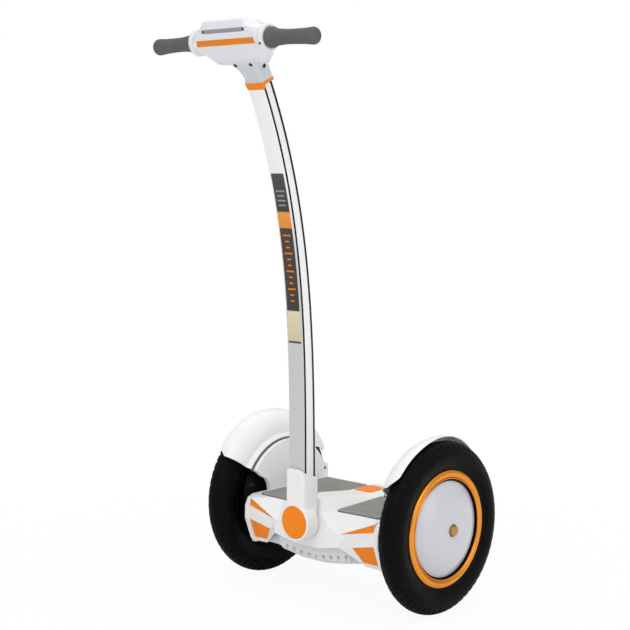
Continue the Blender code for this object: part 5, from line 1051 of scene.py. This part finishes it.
def column():
    """Black core tube, satin front panel and the bright side strips."""
    wide = COLUMN_WIDTH / 2
    core = wide - STRIP_THICKNESS - GAP
    tube = oblong(-core, core, FRONT_PANEL_THICKNESS + GAP, 0)
    panel = oblong(-wide, wide, 0, FRONT_PANEL_THICKNESS, 0)
    plans = [
        ("column_core", "black", "column_tube", soft_section(tube, 0.0045), [SPIGOT_LENGTH]),
        ("column_front_skin", "silver", "column_front_panel", soft_section(panel, 0.0014, 3), []),
    ]
    for side, label in SIDES:
        name = f"{label}_column_strip"
        strip = oblong(side * (core + GAP), side * wide, STRIP_FRONT_INSET, -STRIP_REAR_INSET)
        outline = soft_section(strip, 0.0006, 2)
        plans.append((f"{name}_polished", "strip", name, outline, [COLLAR_SIDE_RISE]))
    whole = column_rises(COLUMN_FOOT_Z, COLUMN_TOP_Z, COLUMN_STEPS)
    for name, finish, node, outline, extra in plans:
        rises = whole + [whole[-1] + length for length in extra]
        bm = skin(column_rings(outline, rises))
        piece(name, bm, finish, "steering", node, smooth=40)


def decal():
    """Printed panel on the column's front, a little proud, with plain bars and ticks."""
    low, *inner, high = column_rises(DECAL_LOW_Z, DECAL_TOP_Z, 48)
    ends = [DECAL_CORNER * share for share in (0.0, 0.02, 0.1, 0.25, 0.5, 1.0)]
    rises = [low + value for value in ends] + inner[1:-1] + [high - value for value in ends[::-1]]
    rings = []
    for rise in rises:
        into = max(0.0, DECAL_CORNER - min(rise - low, high - rise))
        inwards = DECAL_CORNER - math.sqrt(max(0.0, DECAL_CORNER**2 - into**2))
        half = DECAL_HALF_WIDTH - inwards
        rings += column_rings(oblong(-half, half, -0.0003, 0.0002, 0), [rise])
    piece("column_panel_print", skin(rings), "decal", "steering", smooth=40)
    for name, finish, count, drop, pitch, reach, every, wide, narrow in DECAL_MARKS:
        marks = []
        for k in range(count):
            half = DECAL_HALF_WIDTH * (narrow if k % every else wide)
            middle = DECAL_TOP_Z - drop - k * pitch
            rises = column_rises(middle - reach, middle + reach, 2)
            marks.append(skin(column_rings(oblong(-half, half, -0.0006, -0.0002, 0), rises)))
        piece(f"column_panel_{name}", merged(marks), finish, "steering", smooth=40)


def collar():
    """Orange collar: a flared band round the column, deeper on its front."""
    foot = COLUMN_SPAN + GAP
    top = foot + COLLAR_LENGTH
    rings = []
    for share in (0.0, 0.03, 0.09, 0.3, 0.6, 0.88, 0.95, 1.0):
        rise = blend(foot, top, share)
        grow = blend(COLLAR_FOOT_MARGIN, COLLAR_TOP_MARGIN, share)
        ends = (foot + COLLAR_EASE - rise, rise - top + COLLAR_EASE)
        grow -= 0.0007 * sum(eased(end / COLLAR_EASE) for end in ends)
        wide = COLUMN_WIDTH / 2 + grow
        rings += column_rings(soft_section(oblong(-wide, wide, -grow, grow), 0.0035), [rise])
    made = made_object("column_collar_flared", skin(rings), "orange")
    wide = COLUMN_WIDTH
    behind = oblong(-wide, wide, FRONT_PANEL_THICKNESS + 0.0030, wide)
    cut = skin(column_rings(behind, [foot - 0.01, foot + COLLAR_SIDE_RISE]))
    carve(made, [("DIFFERENCE", cut)], 40)
    settle(made, "steering", "column_collar")


def about_pivot(profile):
    """A (y, radius) profile revolved about the pivot's axis."""
    return revolved(profile, 96, (0, 0, PIVOT_Z), Matrix.Rotation(math.pi / 2, 3, "Z"))


def boot_stem():
    """Rings of the boot's rounded stem, with an arched top that falls to the rear."""
    wide, front, rear = BOOT_HALF_WIDTH, BOOT_FRONT_Y, BOOT_STEM_REAR_Y
    middle = (front + rear) / 2
    outline = soften([(-wide, front), (wide, front), (wide, rear), (-wide, rear)], BOOT_CORNER, 8)
    rings = [[(x, y, BOOT_FOOT_Z) for x, y in outline]]
    for drop, inset in BOOT_TOP_EDGE:
        shrink = 1 - inset / wide
        ring = []
        for x, y in outline:
            arch = 1 - (x / wide) ** 2
            fall = (y - front) / (rear - front)
            top = BOOT_TOP_Z + BOOT_TOP_RISE * arch - BOOT_TOP_FALL * fall
            ring.append((x * shrink, middle + (y - middle) * shrink, top - drop))
        rings.append(ring)
    return skin(rings)


def boot():
    """White boot: a rounded stem that grows out of the pivot drum, with the column's socket."""
    made = made_object("column_boot_moulded", boot_stem(), "white")
    front = BOOT_FRONT_Y - 0.0005
    profile = [(front, 0)]
    for k in range(6, -1, -1):
        lean = math.pi / 2 * k / 6
        along = front + BOOT_BEVEL * (1 - math.sin(lean))
        profile.append((along, BOOT_DISC_RADIUS - BOOT_BEVEL * (1 - math.cos(lean))))
    profile.append((BOOT_REAR_Y - BOOT_EASE, BOOT_DISC_RADIUS))
    profile += [(BOOT_REAR_Y, BOOT_DISC_RADIUS - BOOT_EASE), (BOOT_REAR_Y, 0)]
    drum = about_pivot(profile)
    far = BOOT_DISC_RADIUS * 2
    low, high = Vector(NOSE_LOW), Vector(NOSE_HIGH)
    foot = low + (low - high)
    slope = [tuple(foot), tuple(high), (0, high.y), (0, foot.y)]
    behind = skin([[(x, y, z) for y, z in slope] for x in (-far, far)])
    wide = COLUMN_WIDTH / 2 + GAP
    socket = soft_section(oblong(-wide, wide, -GAP, GAP), 0.003)
    rises = column_rises(COLUMN_FOOT_Z - 0.003, BOOT_SOCKET_TOP_Z, 6)
    socket = skin(column_rings(socket, rises))
    outside, sunk, reach = -far - 0.2, BOOT_FRONT_Y + CAP_SINK, CAP_RADIUS + 0.0004
    seat = about_pivot([(outside, 0), (outside, reach), (sunk, reach), (sunk, 0)])
    steps = [("DIFFERENCE", behind), ("UNION", drum), ("DIFFERENCE", socket), ("DIFFERENCE", seat)]
    carve(made, steps, 32)
    settle(made, "steering", "column_boot")
    face = BOOT_FRONT_Y - CAP_PROUD
    cap = [
        (sunk - GAP, 0),
        (sunk - GAP, CAP_RADIUS),
        (face + 0.0016, CAP_RADIUS),
        (face + 0.0003, CAP_RADIUS - 0.0014),
        (face, CAP_RADIUS - 0.0034),
        (face + 0.0009, CAP_RADIUS - 0.0042),
        (face + 0.0006, CAP_RADIUS * 0.5),
        (face + 0.0002, 0),
    ]
    piece("pivot_cap_rimmed", about_pivot(cap), "orange", "steering", "pivot_cap", smooth=25)


# Handlebar head

# (y, z) outline of the head's deep middle, from the bar's axis
HEAD_OUTLINE = (
    (-0.0310, 0.0195),
    (-0.0250, 0.0000),
    (-0.0205, -0.0110),
    (0.0140, -0.0450),
    (0.0420, -0.0450),
    (0.0560, -0.0270),
    (0.0540, -0.0020),
    (0.0440, 0.0190),
    (0.0260, 0.0330),
    (0.0040, 0.0395),
    (-0.0240, 0.0400),
    (-0.0315, 0.0365),
)
HEAD_MIDDLE = [Vector((BAR_Y + y, BAR_Z + z)) for y, z in HEAD_OUTLINE]

# Angles of the head's round ends, point for point with the middle
HEAD_END_ANGLES = (148, 180, 208, 250, 285, 320, 352, 380, 408, 438, 468, 490)


def head_ring(x, inset):
    """Rounded ring of the head at a distance from its middle."""
    share = max(0.0, (abs(x) - HEAD_DEEP_X) / (HEAD_END_X - HEAD_DEEP_X))
    face_share = share**5
    back_share = 1 - (1 - share) ** 2
    ring = []
    for k, (deep, degrees) in enumerate(zip(HEAD_MIDDLE, HEAD_END_ANGLES)):
        turn = math.radians(degrees)
        y, z = HEAD_END_RADIUS * math.cos(turn), HEAD_END_RADIUS * math.sin(turn)
        end = Vector((BAR_Y + y, BAR_Z + z))
        ring.append(tuple(blend(deep, end, face_share if k <= STRIPE_SIDE + 1 else back_share)))
    found = []
    for spot in soften(ring, blend(0.0035, 0.0100, min(1.0, share * 1.5)), 4):
        spot = Vector(spot)
        spot -= (spot - HEAD_AXIS).normalized() * inset
        found.append((x, spot.x, spot.y))
    return found


def head_rings():
    """Rings of the whole head, with rounded end edges."""
    half = [(x, 0.0) for x in (0.0, 0.02, 0.04)]
    half += [(HEAD_DEEP_X + (HEAD_END_X - HEAD_DEEP_X) * k / 14, 0.0) for k in range(14)]
    half += [(HEAD_END_X - 0.0004, 0.0003), (HEAD_END_X, 0.0010)]
    stations = [(-x, inset) for x, inset in half[:0:-1]] + half
    return [head_ring(x, inset) for x, inset in stations]


def neck_levels():
    """Neck sections as (half width, front point, rear point), from the collar up into the head."""
    point, forward, depth = column_frame(COLUMN_SPAN + COLLAR_LENGTH + GAP * 2)
    half = COLUMN_WIDTH / 2 + COLLAR_TOP_MARGIN
    front = (point + forward * COLLAR_TOP_MARGIN).yz
    rear = (point - forward * (depth + COLLAR_TOP_MARGIN)).yz
    screws = Vector((BAR_Y + 0.0285, BAR_Z - 0.0490))
    chin = Vector((BAR_Y + 0.0090, BAR_Z - 0.0320))
    nape = Vector((BAR_Y + 0.0680, BAR_Z - 0.0330))
    crown = Vector((BAR_Y + 0.0510, BAR_Z - 0.0120))
    low_front = blend(front, screws, 0.30) + Vector((0.0060, 0))
    high_front = blend(front, screws, 0.72) + Vector((0.0040, 0))
    return [
        (half, front, rear),
        (half + 0.0010, low_front, blend(rear, nape, 0.35)),
        (half + 0.0030, high_front, blend(rear, nape, 0.70)),
        (half + 0.0075, screws, nape),
        (half + 0.0175, chin, crown),
    ]


def neck_rings():
    """Rings of the neck with rounded corners, evened out between its levels."""
    levels = neck_levels()
    last = len(levels) - 1
    parts = 6
    rings = []
    for step in range(last * parts + 1):
        k = min(step // parts, last - 1)
        share = (step - k * parts) / parts
        near = (levels[max(k - 1, 0)], levels[k], levels[k + 1], levels[min(k + 2, last)])
        half, front, rear = (curved(*values, share) for values in zip(*near))
        corners = [(-half, *front), (half, *front), (half, *rear), (-half, *rear)]
        rings.append(soften(corners, 0.0085, 6))
    return rings


def outward(place):
    """Direction out of one of the head's sides, as (y, z)."""
    first, second = HEAD_MIDDLE[place : place + 2]
    along = second - first
    out = Vector((along.y, -along.x)).normalized()
    return -out if out.dot(first - HEAD_AXIS) < 0 else out


def plate(place, span, offsets, halves, corner=0.0, steps=4, middle=0.0):
    """Flat piece on one of the head's sides.

    It spans two shares of the side and two offsets from it, with a half width at each end.
    """
    first, second = HEAD_MIDDLE[place : place + 2]
    along = second - first
    length = along.length
    start, end = (share * length for share in span)
    wide, far_wide = halves
    outline = [(-wide, start), (wide, start), (far_wide, end), (-far_wide, end)]
    if corner:
        outline = soften(outline, corner, steps)
    rings = []
    for offset in offsets:
        ring = []
        for x, reach in outline:
            spot = first + along * (reach / length) + outward(place) * offset
            ring.append((middle + x, spot.x, spot.y))
        rings.append(ring)
    return skin(rings)


def about_button(profile):
    """An (outwards, radius) profile revolved about the power button's axis, from its seat."""
    seat = blend(*HEAD_MIDDLE[BUTTON_SIDE : BUTTON_SIDE + 2], 0.5)
    turn = facing((0, *outward(BUTTON_SIDE)))
    return revolved(profile, 64, (0, *seat), turn)


def head_seam():
    """Cutters for the fine seam between the shells, along the slot and down the neck."""
    point, forward, depth = column_frame(COLUMN_SPAN)
    neck = (point - forward * (depth * 0.5)).yz
    slot = HEAD_MIDDLE[SLOT_SIDE] + Vector((0, 0.0010))
    wide = HEAD_END_X * 2
    cutters = []
    for target, reach in ((slot, 1.6), (neck, 1.5)):
        end = HEAD_AXIS + (target - HEAD_AXIS) * reach
        way = (end - HEAD_AXIS).normalized()
        across = Vector((way.y, -way.x)) * SEAM_HALF_WIDTH
        start = HEAD_AXIS - way * 0.0005
        ring = [start + across, start - across, end - across, end + across]
        cutters.append(skin([[(x, spot.x, spot.y) for spot in ring] for x in (-wide, wide)]))
    return cutters


def head():
    """Head shells with their seam, the light slot, the stripe, the display and the button."""
    made = made_object("head_shells_moulded", skin(head_rings()), "head")
    stripe = (STRIPE_HALF_LENGTH, STRIPE_HALF_LENGTH + STRIPE_SLANT)
    light, glass, reach = LIGHT_HALF_LENGTH + 0.0038, DISPLAY_HALF_WIDTH + GAP, BUTTON_RADIUS + GAP
    deep = -BUTTON_WELL_DEPTH
    cuts = head_seam()
    cuts += [
        plate(STRIPE_SIDE, (-0.02, 1.02), (-0.0018, 0.01), [half + GAP for half in stripe]),
        plate(SLOT_SIDE, (-0.01, 0.36), (-0.0022, 0.01), (light, light), 0.0034, 6),
        plate(DISPLAY_SIDE, (0.08, 0.92), (-0.0018, 0.01), (glass, glass), 0.004),
        about_button([(deep, 0), (deep, reach), (0.01, reach), (0.01, 0)]),
    ]
    carve(made, [("UNION", skin(neck_rings()))] + [("DIFFERENCE", cut) for cut in cuts], 32)
    settle(made, "steering", "head_front_shell", "head_rear_shell")
    bm = plate(STRIPE_SIDE, (0.0, 1.0), (-0.0016, 0.0003), stripe)
    piece("head_stripe_fine", bm, "stripe", "steering", "head_stripe")
    light = LIGHT_HALF_LENGTH - 0.0030
    bm = plate(SLOT_SIDE, (0.02, 0.33), (-0.0020, -0.0006), (light, light), 0.0026)
    piece("light_bar_lens", bm, "lens", "steering", "light_bar")
    out = outward(SLOT_SIDE)
    spot = blend(*HEAD_MIDDLE[SLOT_SIDE : SLOT_SIDE + 2], 0.175) - out * 0.0020
    screws = []
    for x in (-LIGHT_HALF_LENGTH, LIGHT_HALF_LENGTH):
        screws.append(screw((x, *spot), (0, *out), LIGHT_SCREW_SIZE))
    piece("light_bar_screws", merged(screws), "black", "steering")
    glass = DISPLAY_HALF_WIDTH
    bm = plate(DISPLAY_SIDE, (0.10, 0.90), (-0.0016, 0.0002), (glass, glass), 0.0036)
    piece("display_glass", bm, "glass", "steering", "display_panel")
    span, offsets, halves = (0.38, 0.62), (0.0001, 0.0004), (0.0026, 0.0026)
    bars = []
    for k in range(-2, 3):
        middle = k * CHARGE_BAR_PITCH
        bars.append(plate(DISPLAY_SIDE, span, offsets, halves, 0.0006, middle=middle))
    piece("display_charge_bars", merged(bars), "white", "steering")
    neck_screws()
    button()


def neck_screws():
    """Four dark screws round the neck and a small one on the left cuff."""
    _, front, _ = neck_levels()[3]
    y, z = front.x + NECK_FRONT_SHIFT[0], front.y + NECK_FRONT_SHIFT[1]
    screws = []
    for x in (-NECK_SCREW_X, NECK_SCREW_X):
        screws.append(screw((x, y, z), NECK_FRONT_OUT, NECK_SCREW_SIZE))
    for side in (-1, 1):
        spot, out = ((side * x, y, z) for x, y, z in (NECK_SIDE_SPOT, NECK_SIDE_OUT))
        screws.append(screw(spot, out, NECK_SIDE_SCREW_SIZE))
    piece("neck_screws", merged(screws), "black_steel", "steering")
    out = Vector(CUFF_SCREW_OUT).normalized()
    seat = CUFF_RADIUS + 0.0001
    x = HEAD_END_X + CUFF_LENGTH * CUFF_SCREW_SHARE
    bm = screw((x, BAR_Y + out.y * seat, BAR_Z + out.z * seat), out, CUFF_SCREW_SIZE)
    piece("left_cuff_screw", bm, "black_steel", "steering")


def button():
    """Round power button with a finger dish and a raised rim."""
    profile = [
        (-0.0030, 0),
        (-0.0030, BUTTON_RADIUS),
        (0.0010, BUTTON_RADIUS),
        (0.0017, BUTTON_RADIUS - 0.0007),
        (0.0018, BUTTON_RADIUS - 0.0014),
        (0.0012, BUTTON_RADIUS - 0.0022),
        (0.0008, 0),
    ]
    bm = about_button(profile)
    piece("power_button_dished", bm, "orange", "power_button", "power_button", smooth=25)


def cuffs_and_grips():
    """Turned cuffs beside the head and patterned rubber grips with end caps."""
    plan = [
        (0.10, HEAD_END_RADIUS),
        (0.25, CUFF_RADIUS),
        (0.72, CUFF_RADIUS),
        (0.92, CUFF_RADIUS - 0.0012),
        (1.00, CUFF_RADIUS - 0.0030),
        (1.00, GRIP_FLANGE_RADIUS + 0.0006),
        (0.85, GRIP_FLANGE_RADIUS - 0.0006),
        (0.85, CUFF_BORE_RADIUS),
    ]
    foot = HEAD_END_X + GAP
    cuff = [(foot, CUFF_BORE_RADIUS), (foot, HEAD_END_RADIUS - 0.0006)]
    cuff += [(HEAD_END_X + CUFF_LENGTH * share, radius) for share, radius in plan]
    grips = [grip_profile(step) for step in range(GRIP_STEPS)]
    for side, label in SIDES:
        bm = revolved(flipped(cuff, side), 96, (0, BAR_Y, BAR_Z))
        piece(f"{label}_cuff_turned", bm, "head", "steering", f"{label}_cuff", smooth=40)
        bend = (side * (HEAD_END_X + CUFF_LENGTH + GAP * 2), BAR_Y, BAR_Z)
        droop = Matrix.Rotation(side * math.radians(GRIP_DROOP), 3, "Y")
        bm = lathed([flipped(grip, side) for grip in grips], bend, droop)
        piece(f"{label}_grip_ribbed", bm, "grip", "steering", f"{label}_grip", smooth=60)


def grip_profile(step):
    """(along, radius) outline of the grip at one step round it, with ribs on its waist."""
    waist, flange, end_cap = GRIP_WAIST_RADIUS, GRIP_FLANGE_RADIUS, GRIP_END_RADIUS
    plan = [
        (0.00, flange - 0.0010),
        (0.06, flange),
        (0.12, blend(waist, flange, 0.52)),
        (0.23, blend(waist, flange, 0.20)),
        (0.42, waist),
        (0.74, blend(waist, end_cap, 0.35)),
        (0.88, blend(waist, end_cap, 0.92)),
        (0.94, end_cap),
        (0.98, end_cap * 0.86),
        (1.00, end_cap * 0.60),
    ]
    count = 110
    found = [(GAP, 0.0)]
    for k in range(count + 1):
        share = k / count
        place = 0
        while place < len(plan) - 2 and plan[place + 1][0] < share:
            place += 1
        (start, low), (end, high) = plan[place], plan[place + 1]
        before = plan[max(place - 1, 0)][1]
        after = plan[min(place + 2, len(plan) - 1)][1]
        radius = curved(before, low, high, after, (share - start) / (end - start))
        fade = eased((share - 0.14) / 0.05) * eased((0.86 - share) / 0.05)
        wave = math.sin(share * 150) * math.sin(step * math.pi / 5 + share * 12)
        found.append((GAP + (GRIP_LENGTH - GAP) * share, radius - 0.00022 * (1 + wave) * fade))
    found.append((GRIP_LENGTH, 0.0))
    return found


# Deck pieces


def mat_box(label):
    """Front, rear, outer edge and foot of a foot mat."""
    low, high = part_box(f"{label}_foot_mat")
    return low.y - AXLE_Y, high.y - AXLE_Y, max(abs(low.x), abs(high.x)), low.z


def mat_inner(label, y):
    """Distance of a foot mat's inner edge from the middle at a place along the deck."""
    front, rear, _, _ = mat_box(label)
    inner_rear = blend(MAT_INNER_FRONT_X, MAT_INNER_REAR_X, (rear - front) / MAT_TAPER_LENGTH)
    return blend(MAT_INNER_FRONT_X, inner_rear, (y - front) / (rear - front))


def mat_outline(label):
    """Rounded (x, y) outline of a foot mat on the rider's left."""
    front, rear, outer, _ = mat_box(label)
    corners = [(mat_inner(label, front), front), (outer, front + MAT_FRONT_SLANT)]
    corners += [(outer, rear), (mat_inner(label, rear), rear)]
    return soften(corners, MAT_CORNER, 5)


def widened(outline, reach):
    """Moves a closed flat outline's points outwards, or inwards by a negative reach."""
    found = []
    turning = sum(a[0] * b[1] - b[0] * a[1] for a, b in zip(outline, outline[1:] + outline[:1]))
    way = 1 if turning > 0 else -1
    for k, spot in enumerate(outline):
        before, after = Vector(outline[k - 1]), Vector(outline[(k + 1) % len(outline)])
        here = Vector(spot)
        sides = [edge.normalized() for edge in (here - before, after - here) if edge.length > 1e-7]
        normals = [Vector((edge.y, -edge.x)) * way for edge in sides]
        middle = sum(normals, Vector((0, 0))).normalized()
        found.append(tuple(here + middle * (reach / max(0.5, middle.dot(normals[0])))))
    return found


def mat_skin(side, label, levels, closed=False):
    """A skin through a foot mat's outline, widened to each (reach, z) level."""
    outline = mat_outline(label)
    rings = [[(side * x, y, z) for x, y in widened(outline, reach)] for reach, z in levels]
    return skin(rings, closed)


def mats():
    """Foot mats with a raised border and fine cross ribs."""
    top = MAT_TOP_Z
    base_top = top - MAT_RIB_HEIGHT
    foot, crest = MAT_RIB_WIDTH / 2, MAT_RIB_WIDTH * 0.36
    low_z, high_z = base_top - 0.0002, top - 0.0001
    section = [(-foot, low_z), (-crest, high_z), (crest, high_z), (foot, low_z)]
    for side, label in SIDES:
        front, rear, outer, foot_z = mat_box(label)
        levels = [(0.0, foot_z), (0.0, top - 0.0010), (-0.0006, top - 0.0002)]
        levels += [(-0.0014, top), (-0.0036, top), (-0.0044, base_top)]
        parts = [mat_skin(side, label, levels)]
        for k in range(int((rear - front - 0.012) / MAT_RIB_PITCH)):
            y = front + 0.0085 + k * MAT_RIB_PITCH
            ends = (mat_inner(label, y) + 0.0060, outer - 0.0060)
            parts.append(skin([[(side * x, y + dy, z) for dy, z in section] for x in ends]))
        node = f"{label}_foot_mat"
        piece(f"{node}_ribbed", merged(parts), "mat", f"{label}_mat", node, smooth=40)


def mat_dark_rims():
    """Thin rims round the foot mats where they meet the deck, in a darker rubber than the mats."""
    levels = [(reach, DECK_Z + rise) for reach, rise in MAT_DARK_RIM_PROFILE]
    for side, label in SIDES:
        piece(f"{label}_mat_dark_rim", mat_skin(side, label, levels, closed=True), "mat_edge", "base")


def shield_shade_seals():
    """Grey strips of painted shade in the seams between the deck's round shields and the fenders,
    and a screw in each shield.
    """
    steps = 120
    for side, label in SIDES:
        rings = []
        for step in range(steps + 1):
            angle = blend(SHADE_SEAL_FRONT_ANGLE, SHADE_SEAL_REAR_ANGLE, step / steps)
            rings.append([over_wheel(side, x, radius, angle) for x, radius in SHADE_SEAL_PROFILE])
        piece(f"{label}_shield_shade_seal", skin(rings), "seal", "base")
        x, y, z = SHIELD_SCREW_SPOT
        bm = screw((side * x, y, z), (-side, 0, 0), SHIELD_SCREW_SIZE)
        piece(f"{label}_shield_screw", bm, "dark_steel", "base")


def rib_backs():
    """Liners that close the tops of the lower cover's grooves, in front and behind."""
    far = BELLY_EDGE_X + 0.010
    parts = []
    for y in RIB_BACK_PLACES:
        rings = []
        for k in range(33):
            x = blend(-far, far, k / 32)
            low = blend(BELLY_LOW_Z, BELLY_EDGE_Z, min(1.0, abs(x) / BELLY_EDGE_X)) + 0.0070
            back, high = y + RIB_BACK_WALL, low + 0.0150
            rings.append([(x, y, low), (x, back, low), (x, back, high), (x, y, high)])
        parts.append(skin(rings))
    piece("lower_cover_rib_backs", merged(parts), "shade", "base")


def deck_cover():
    """The deck cover's own shape, with its inner skin set deeper so that it shows nowhere."""
    bm = bmesh.new()
    bm.from_mesh(nodes["deck_cover"].data)
    bmesh.ops.remove_doubles(bm, verts=bm.verts, dist=1e-6)
    bm.normal_update()
    moves = []
    for vert in bm.verts:
        hollow = Vector((vert.co.x * COVER_HOLLOW_SHARE, AXLE_Y, COVER_HOLLOW_Z))
        walls = [face.normal for face in vert.link_faces if abs(face.normal.x) < 0.95]
        inside = walls and all(wall.dot(vert.co - hollow) < 0 for wall in walls)
        if inside and abs(vert.co.x) > COVER_PIVOT_X:
            way = sum(walls, Vector()).normalized()
            moves.append((vert, Vector((0, way.y, way.z)) * COVER_INNER_SINK))
    for vert, move in moves:
        vert.co += move
    flat = math.radians(FLAT_ANGLE)
    bmesh.ops.dissolve_limit(bm, angle_limit=flat, verts=bm.verts, edges=bm.edges)
    layer = bm.edges.layers.float.new("bevel_weight_edge")
    for edge in bm.edges:
        if edge.calc_face_angle(0.0) > math.radians(EDGE_ANGLE):
            edge[layer] = min(1.0, 0.4 * edge_room(edge) / COVER_BEVEL)
    made = piece("deck_cover_moulded", bm, "white", "base", "deck_cover", smooth=0)
    rounded_edges(made, COVER_BEVEL, "WEIGHT", False)


def edge_room(edge):
    """Distance from an edge to the nearest other corner or edge of its two faces."""
    found = [edge.calc_length()]
    for face in edge.link_faces:
        for other in face.edges:
            if other is edge:
                continue
            shared = [vert for vert in other.verts if vert in edge.verts]
            if shared:
                found.append(other.calc_length())
                found.append(reach_to(other.other_vert(shared[0]), edge))
            else:
                found += [reach_to(vert, edge) for vert in other.verts]
                found += [reach_to(vert, other) for vert in edge.verts]
    return min(found)


def reach_to(vert, edge):
    """Distance from a vertex to an edge."""
    start, end = (corner.co for corner in edge.verts)
    along = end - start
    share = min(1.0, max(0.0, (vert.co - start).dot(along) / along.length_squared))
    return (vert.co - start - along * share).length


def lid():
    """Charging lid with a crowned top."""
    low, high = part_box("charge_lid")
    front, rear = low.y - AXLE_Y, high.y - AXLE_Y
    half, rear_half = high.x, high.x - LID_TAPER
    corners = [(-half, front), (half, front), (rear_half, rear), (-rear_half, rear)]
    outline = soften(corners, LID_CORNER, 10)
    middle = Vector((0, (front + rear) / 2))
    top = high.z
    rings = []
    for z, shrink in ((low.z, 1.0), (top - 0.0009, 1.0), (top - 0.0003, 0.985), (top, 0.95)):
        spots = [blend(middle, Vector(spot), shrink) for spot in outline]
        rings.append([(*spot, z) for spot in spots])
    piece("charge_lid_crowned", skin(rings), "orange", "charge_lid", "charge_lid", smooth=30)


# CAD nodes that stay in view, by finish; the first names stand for a left and a right node
CAD_FINISHES = (
    ("white", ("side_plate",), ()),
    ("orange", ("upper_trim", "lower_trim"), ()),
    ("black", ("foot_switch",), ("charge_socket",)),
    ("steel", ("motor_axle", "magnet_ring"), ("pivot_shaft", "pivot_lever", "handlebar_tube")),
    ("copper", ("stator",), ()),
    ("tyre", ("buffer",), ()),
    ("shade", (), ("lower_cover",)),
    ("alloy", (), ("chassis", "pivot_housing")),
    ("battery", (), ("battery_pack",)),
    ("board", (), ("control_board",)),
    ("brass", (), ("front_bush", "rear_bush")),
)

# Node name's ending, width of the rounded edge, distance of merged corners, whether clamped
CAD_EDGES = (
    ("lower_cover", 0.0005, 0.0006, False),
    ("side_plate", 0.0012, 0.0001, False),
    ("upper_trim", 0.0004, 0.0001, True),
    ("lower_trim", 0.0004, 0.0001, True),
)


def finish_cad():
    """Gives the CAD nodes that stay in view their finishes and rounds the outer ones' edges."""
    for finish, both, single in CAD_FINISHES:
        names = [f"{label}_{name}" for name in both for _, label in SIDES]
        for name in (*names, *single):
            nodes[name].data.materials.clear()
            nodes[name].data.materials.append(PAINTS[finish])
    for ending, width, merge, clamped in CAD_EDGES:
        for name in nodes:
            if name.endswith(ending):
                soft_edges(nodes[name], width, merge, clamped)


def soft_edges(made, width, merge, clamped):
    """Modifiers that join a faceted skin's flat faces and round the edges between them."""
    weld = made.modifiers.new("weld", "WELD")
    weld.merge_threshold = merge
    flat = made.modifiers.new("flat", "DECIMATE")
    flat.decimate_type = "DISSOLVE"
    flat.angle_limit = math.radians(FLAT_ANGLE)
    rounded_edges(made, width, "ANGLE", clamped)


# Stage


def camera():
    """The camera at the photograph's angle."""
    data = bpy.data.cameras.new("camera")
    data.lens = CAMERA_LENS
    data.sensor_width = SENSOR
    made = new_object("camera", data)
    made.location = CAMERA_PLACE
    made.rotation_euler = [math.radians(value) for value in CAMERA_TURN]
    bpy.context.scene.camera = made


def lights():
    """A large soft key from above and in front, a weaker one from above, and a low fill."""
    for name, place, size, watts in (
        ("key", (1.2, -2.2, 3.0), 2.4, 32),
        ("top", (-0.6, 0.6, 3.2), 2.6, 12),
        ("fill", (3.0, 0.4, 1.2), 2.0, 12),
    ):
        data = bpy.data.lights.new(name, "AREA")
        data.shape = "SQUARE"
        data.size = size
        data.energy = watts
        made = new_object(name, data)
        made.location = place
        aim = Vector((0, 0, 0.5)) - Vector(place)
        made.rotation_euler = aim.to_track_quat("-Z", "Y").to_euler()


def world():
    """A white background for the camera, and a pale sky, brighter overhead, for all else."""
    made = bpy.data.worlds.new("world")
    bpy.context.scene.world = made
    made.use_nodes = True
    tree = made.node_tree
    tree.nodes.clear()
    place = add_node(tree, "ShaderNodeTexCoord").outputs["Generated"]
    height = add_node(tree, "ShaderNodeSeparateXYZ", {"Vector": place}).outputs["Z"]
    level = map_range(tree, height, 0.0, 0.7, 0.42, 0.88)
    white = {"Color": (1, 1, 1, 1), "Strength": 1.0}
    sky = add_node(tree, "ShaderNodeBackground", {"Strength": level}, white).outputs["Background"]
    plain = add_node(tree, "ShaderNodeBackground", None, white).outputs["Background"]
    show_mix(tree, camera_ray(tree), sky, plain, add_node(tree, "ShaderNodeOutputWorld"))


def floor():
    """A pale floor that keeps the object's shadow and fades into the background."""
    far = 40.0
    mesh = bpy.data.meshes.new("floor")
    corners = [(-far, -far, 0), (far, -far, 0), (far, far, 0), (-far, far, 0)]
    mesh.from_pydata(corners, [], [(0, 1, 2, 3)])
    made = new_object("floor", mesh)
    paint = Paint("floor_white", (0.9, 0.9, 0.9), 0.9)
    glow = paint.node("ShaderNodeEmission", None, {"Color": (1, 1, 1, 1), "Strength": 1.0})
    away = paint.node("ShaderNodeVectorMath", {0: paint.place}, operation="LENGTH")
    fade = map_range(paint.tree, away.outputs["Value"], 0.25, 1.3, 0.93, 1.0)
    links = {0: camera_ray(paint.tree), 1: fade}
    share = paint.node("ShaderNodeMath", links, operation="MULTIPLY").outputs["Value"]
    out = paint.tree.nodes["Material Output"]
    show_mix(paint.tree, share, paint.shader.outputs["BSDF"], glow.outputs["Emission"], out)
    mesh.materials.append(paint.material)


bpy.context.scene.view_settings.view_transform = "Standard"
camera()
lights()
world()
floor()

for side, label in SIDES:
    tyre(side, label)
    rim(side, label)
    motor_covers(side, label)
    cover_screws(side, label)
    axle_nut(side, label)
    fender(side, label)
column()
decal()
collar()
boot()
head()
cuffs_and_grips()
mats()
mat_dark_rims()
shield_shade_seals()
rib_backs()
deck_cover()
lid()
finish_cad()
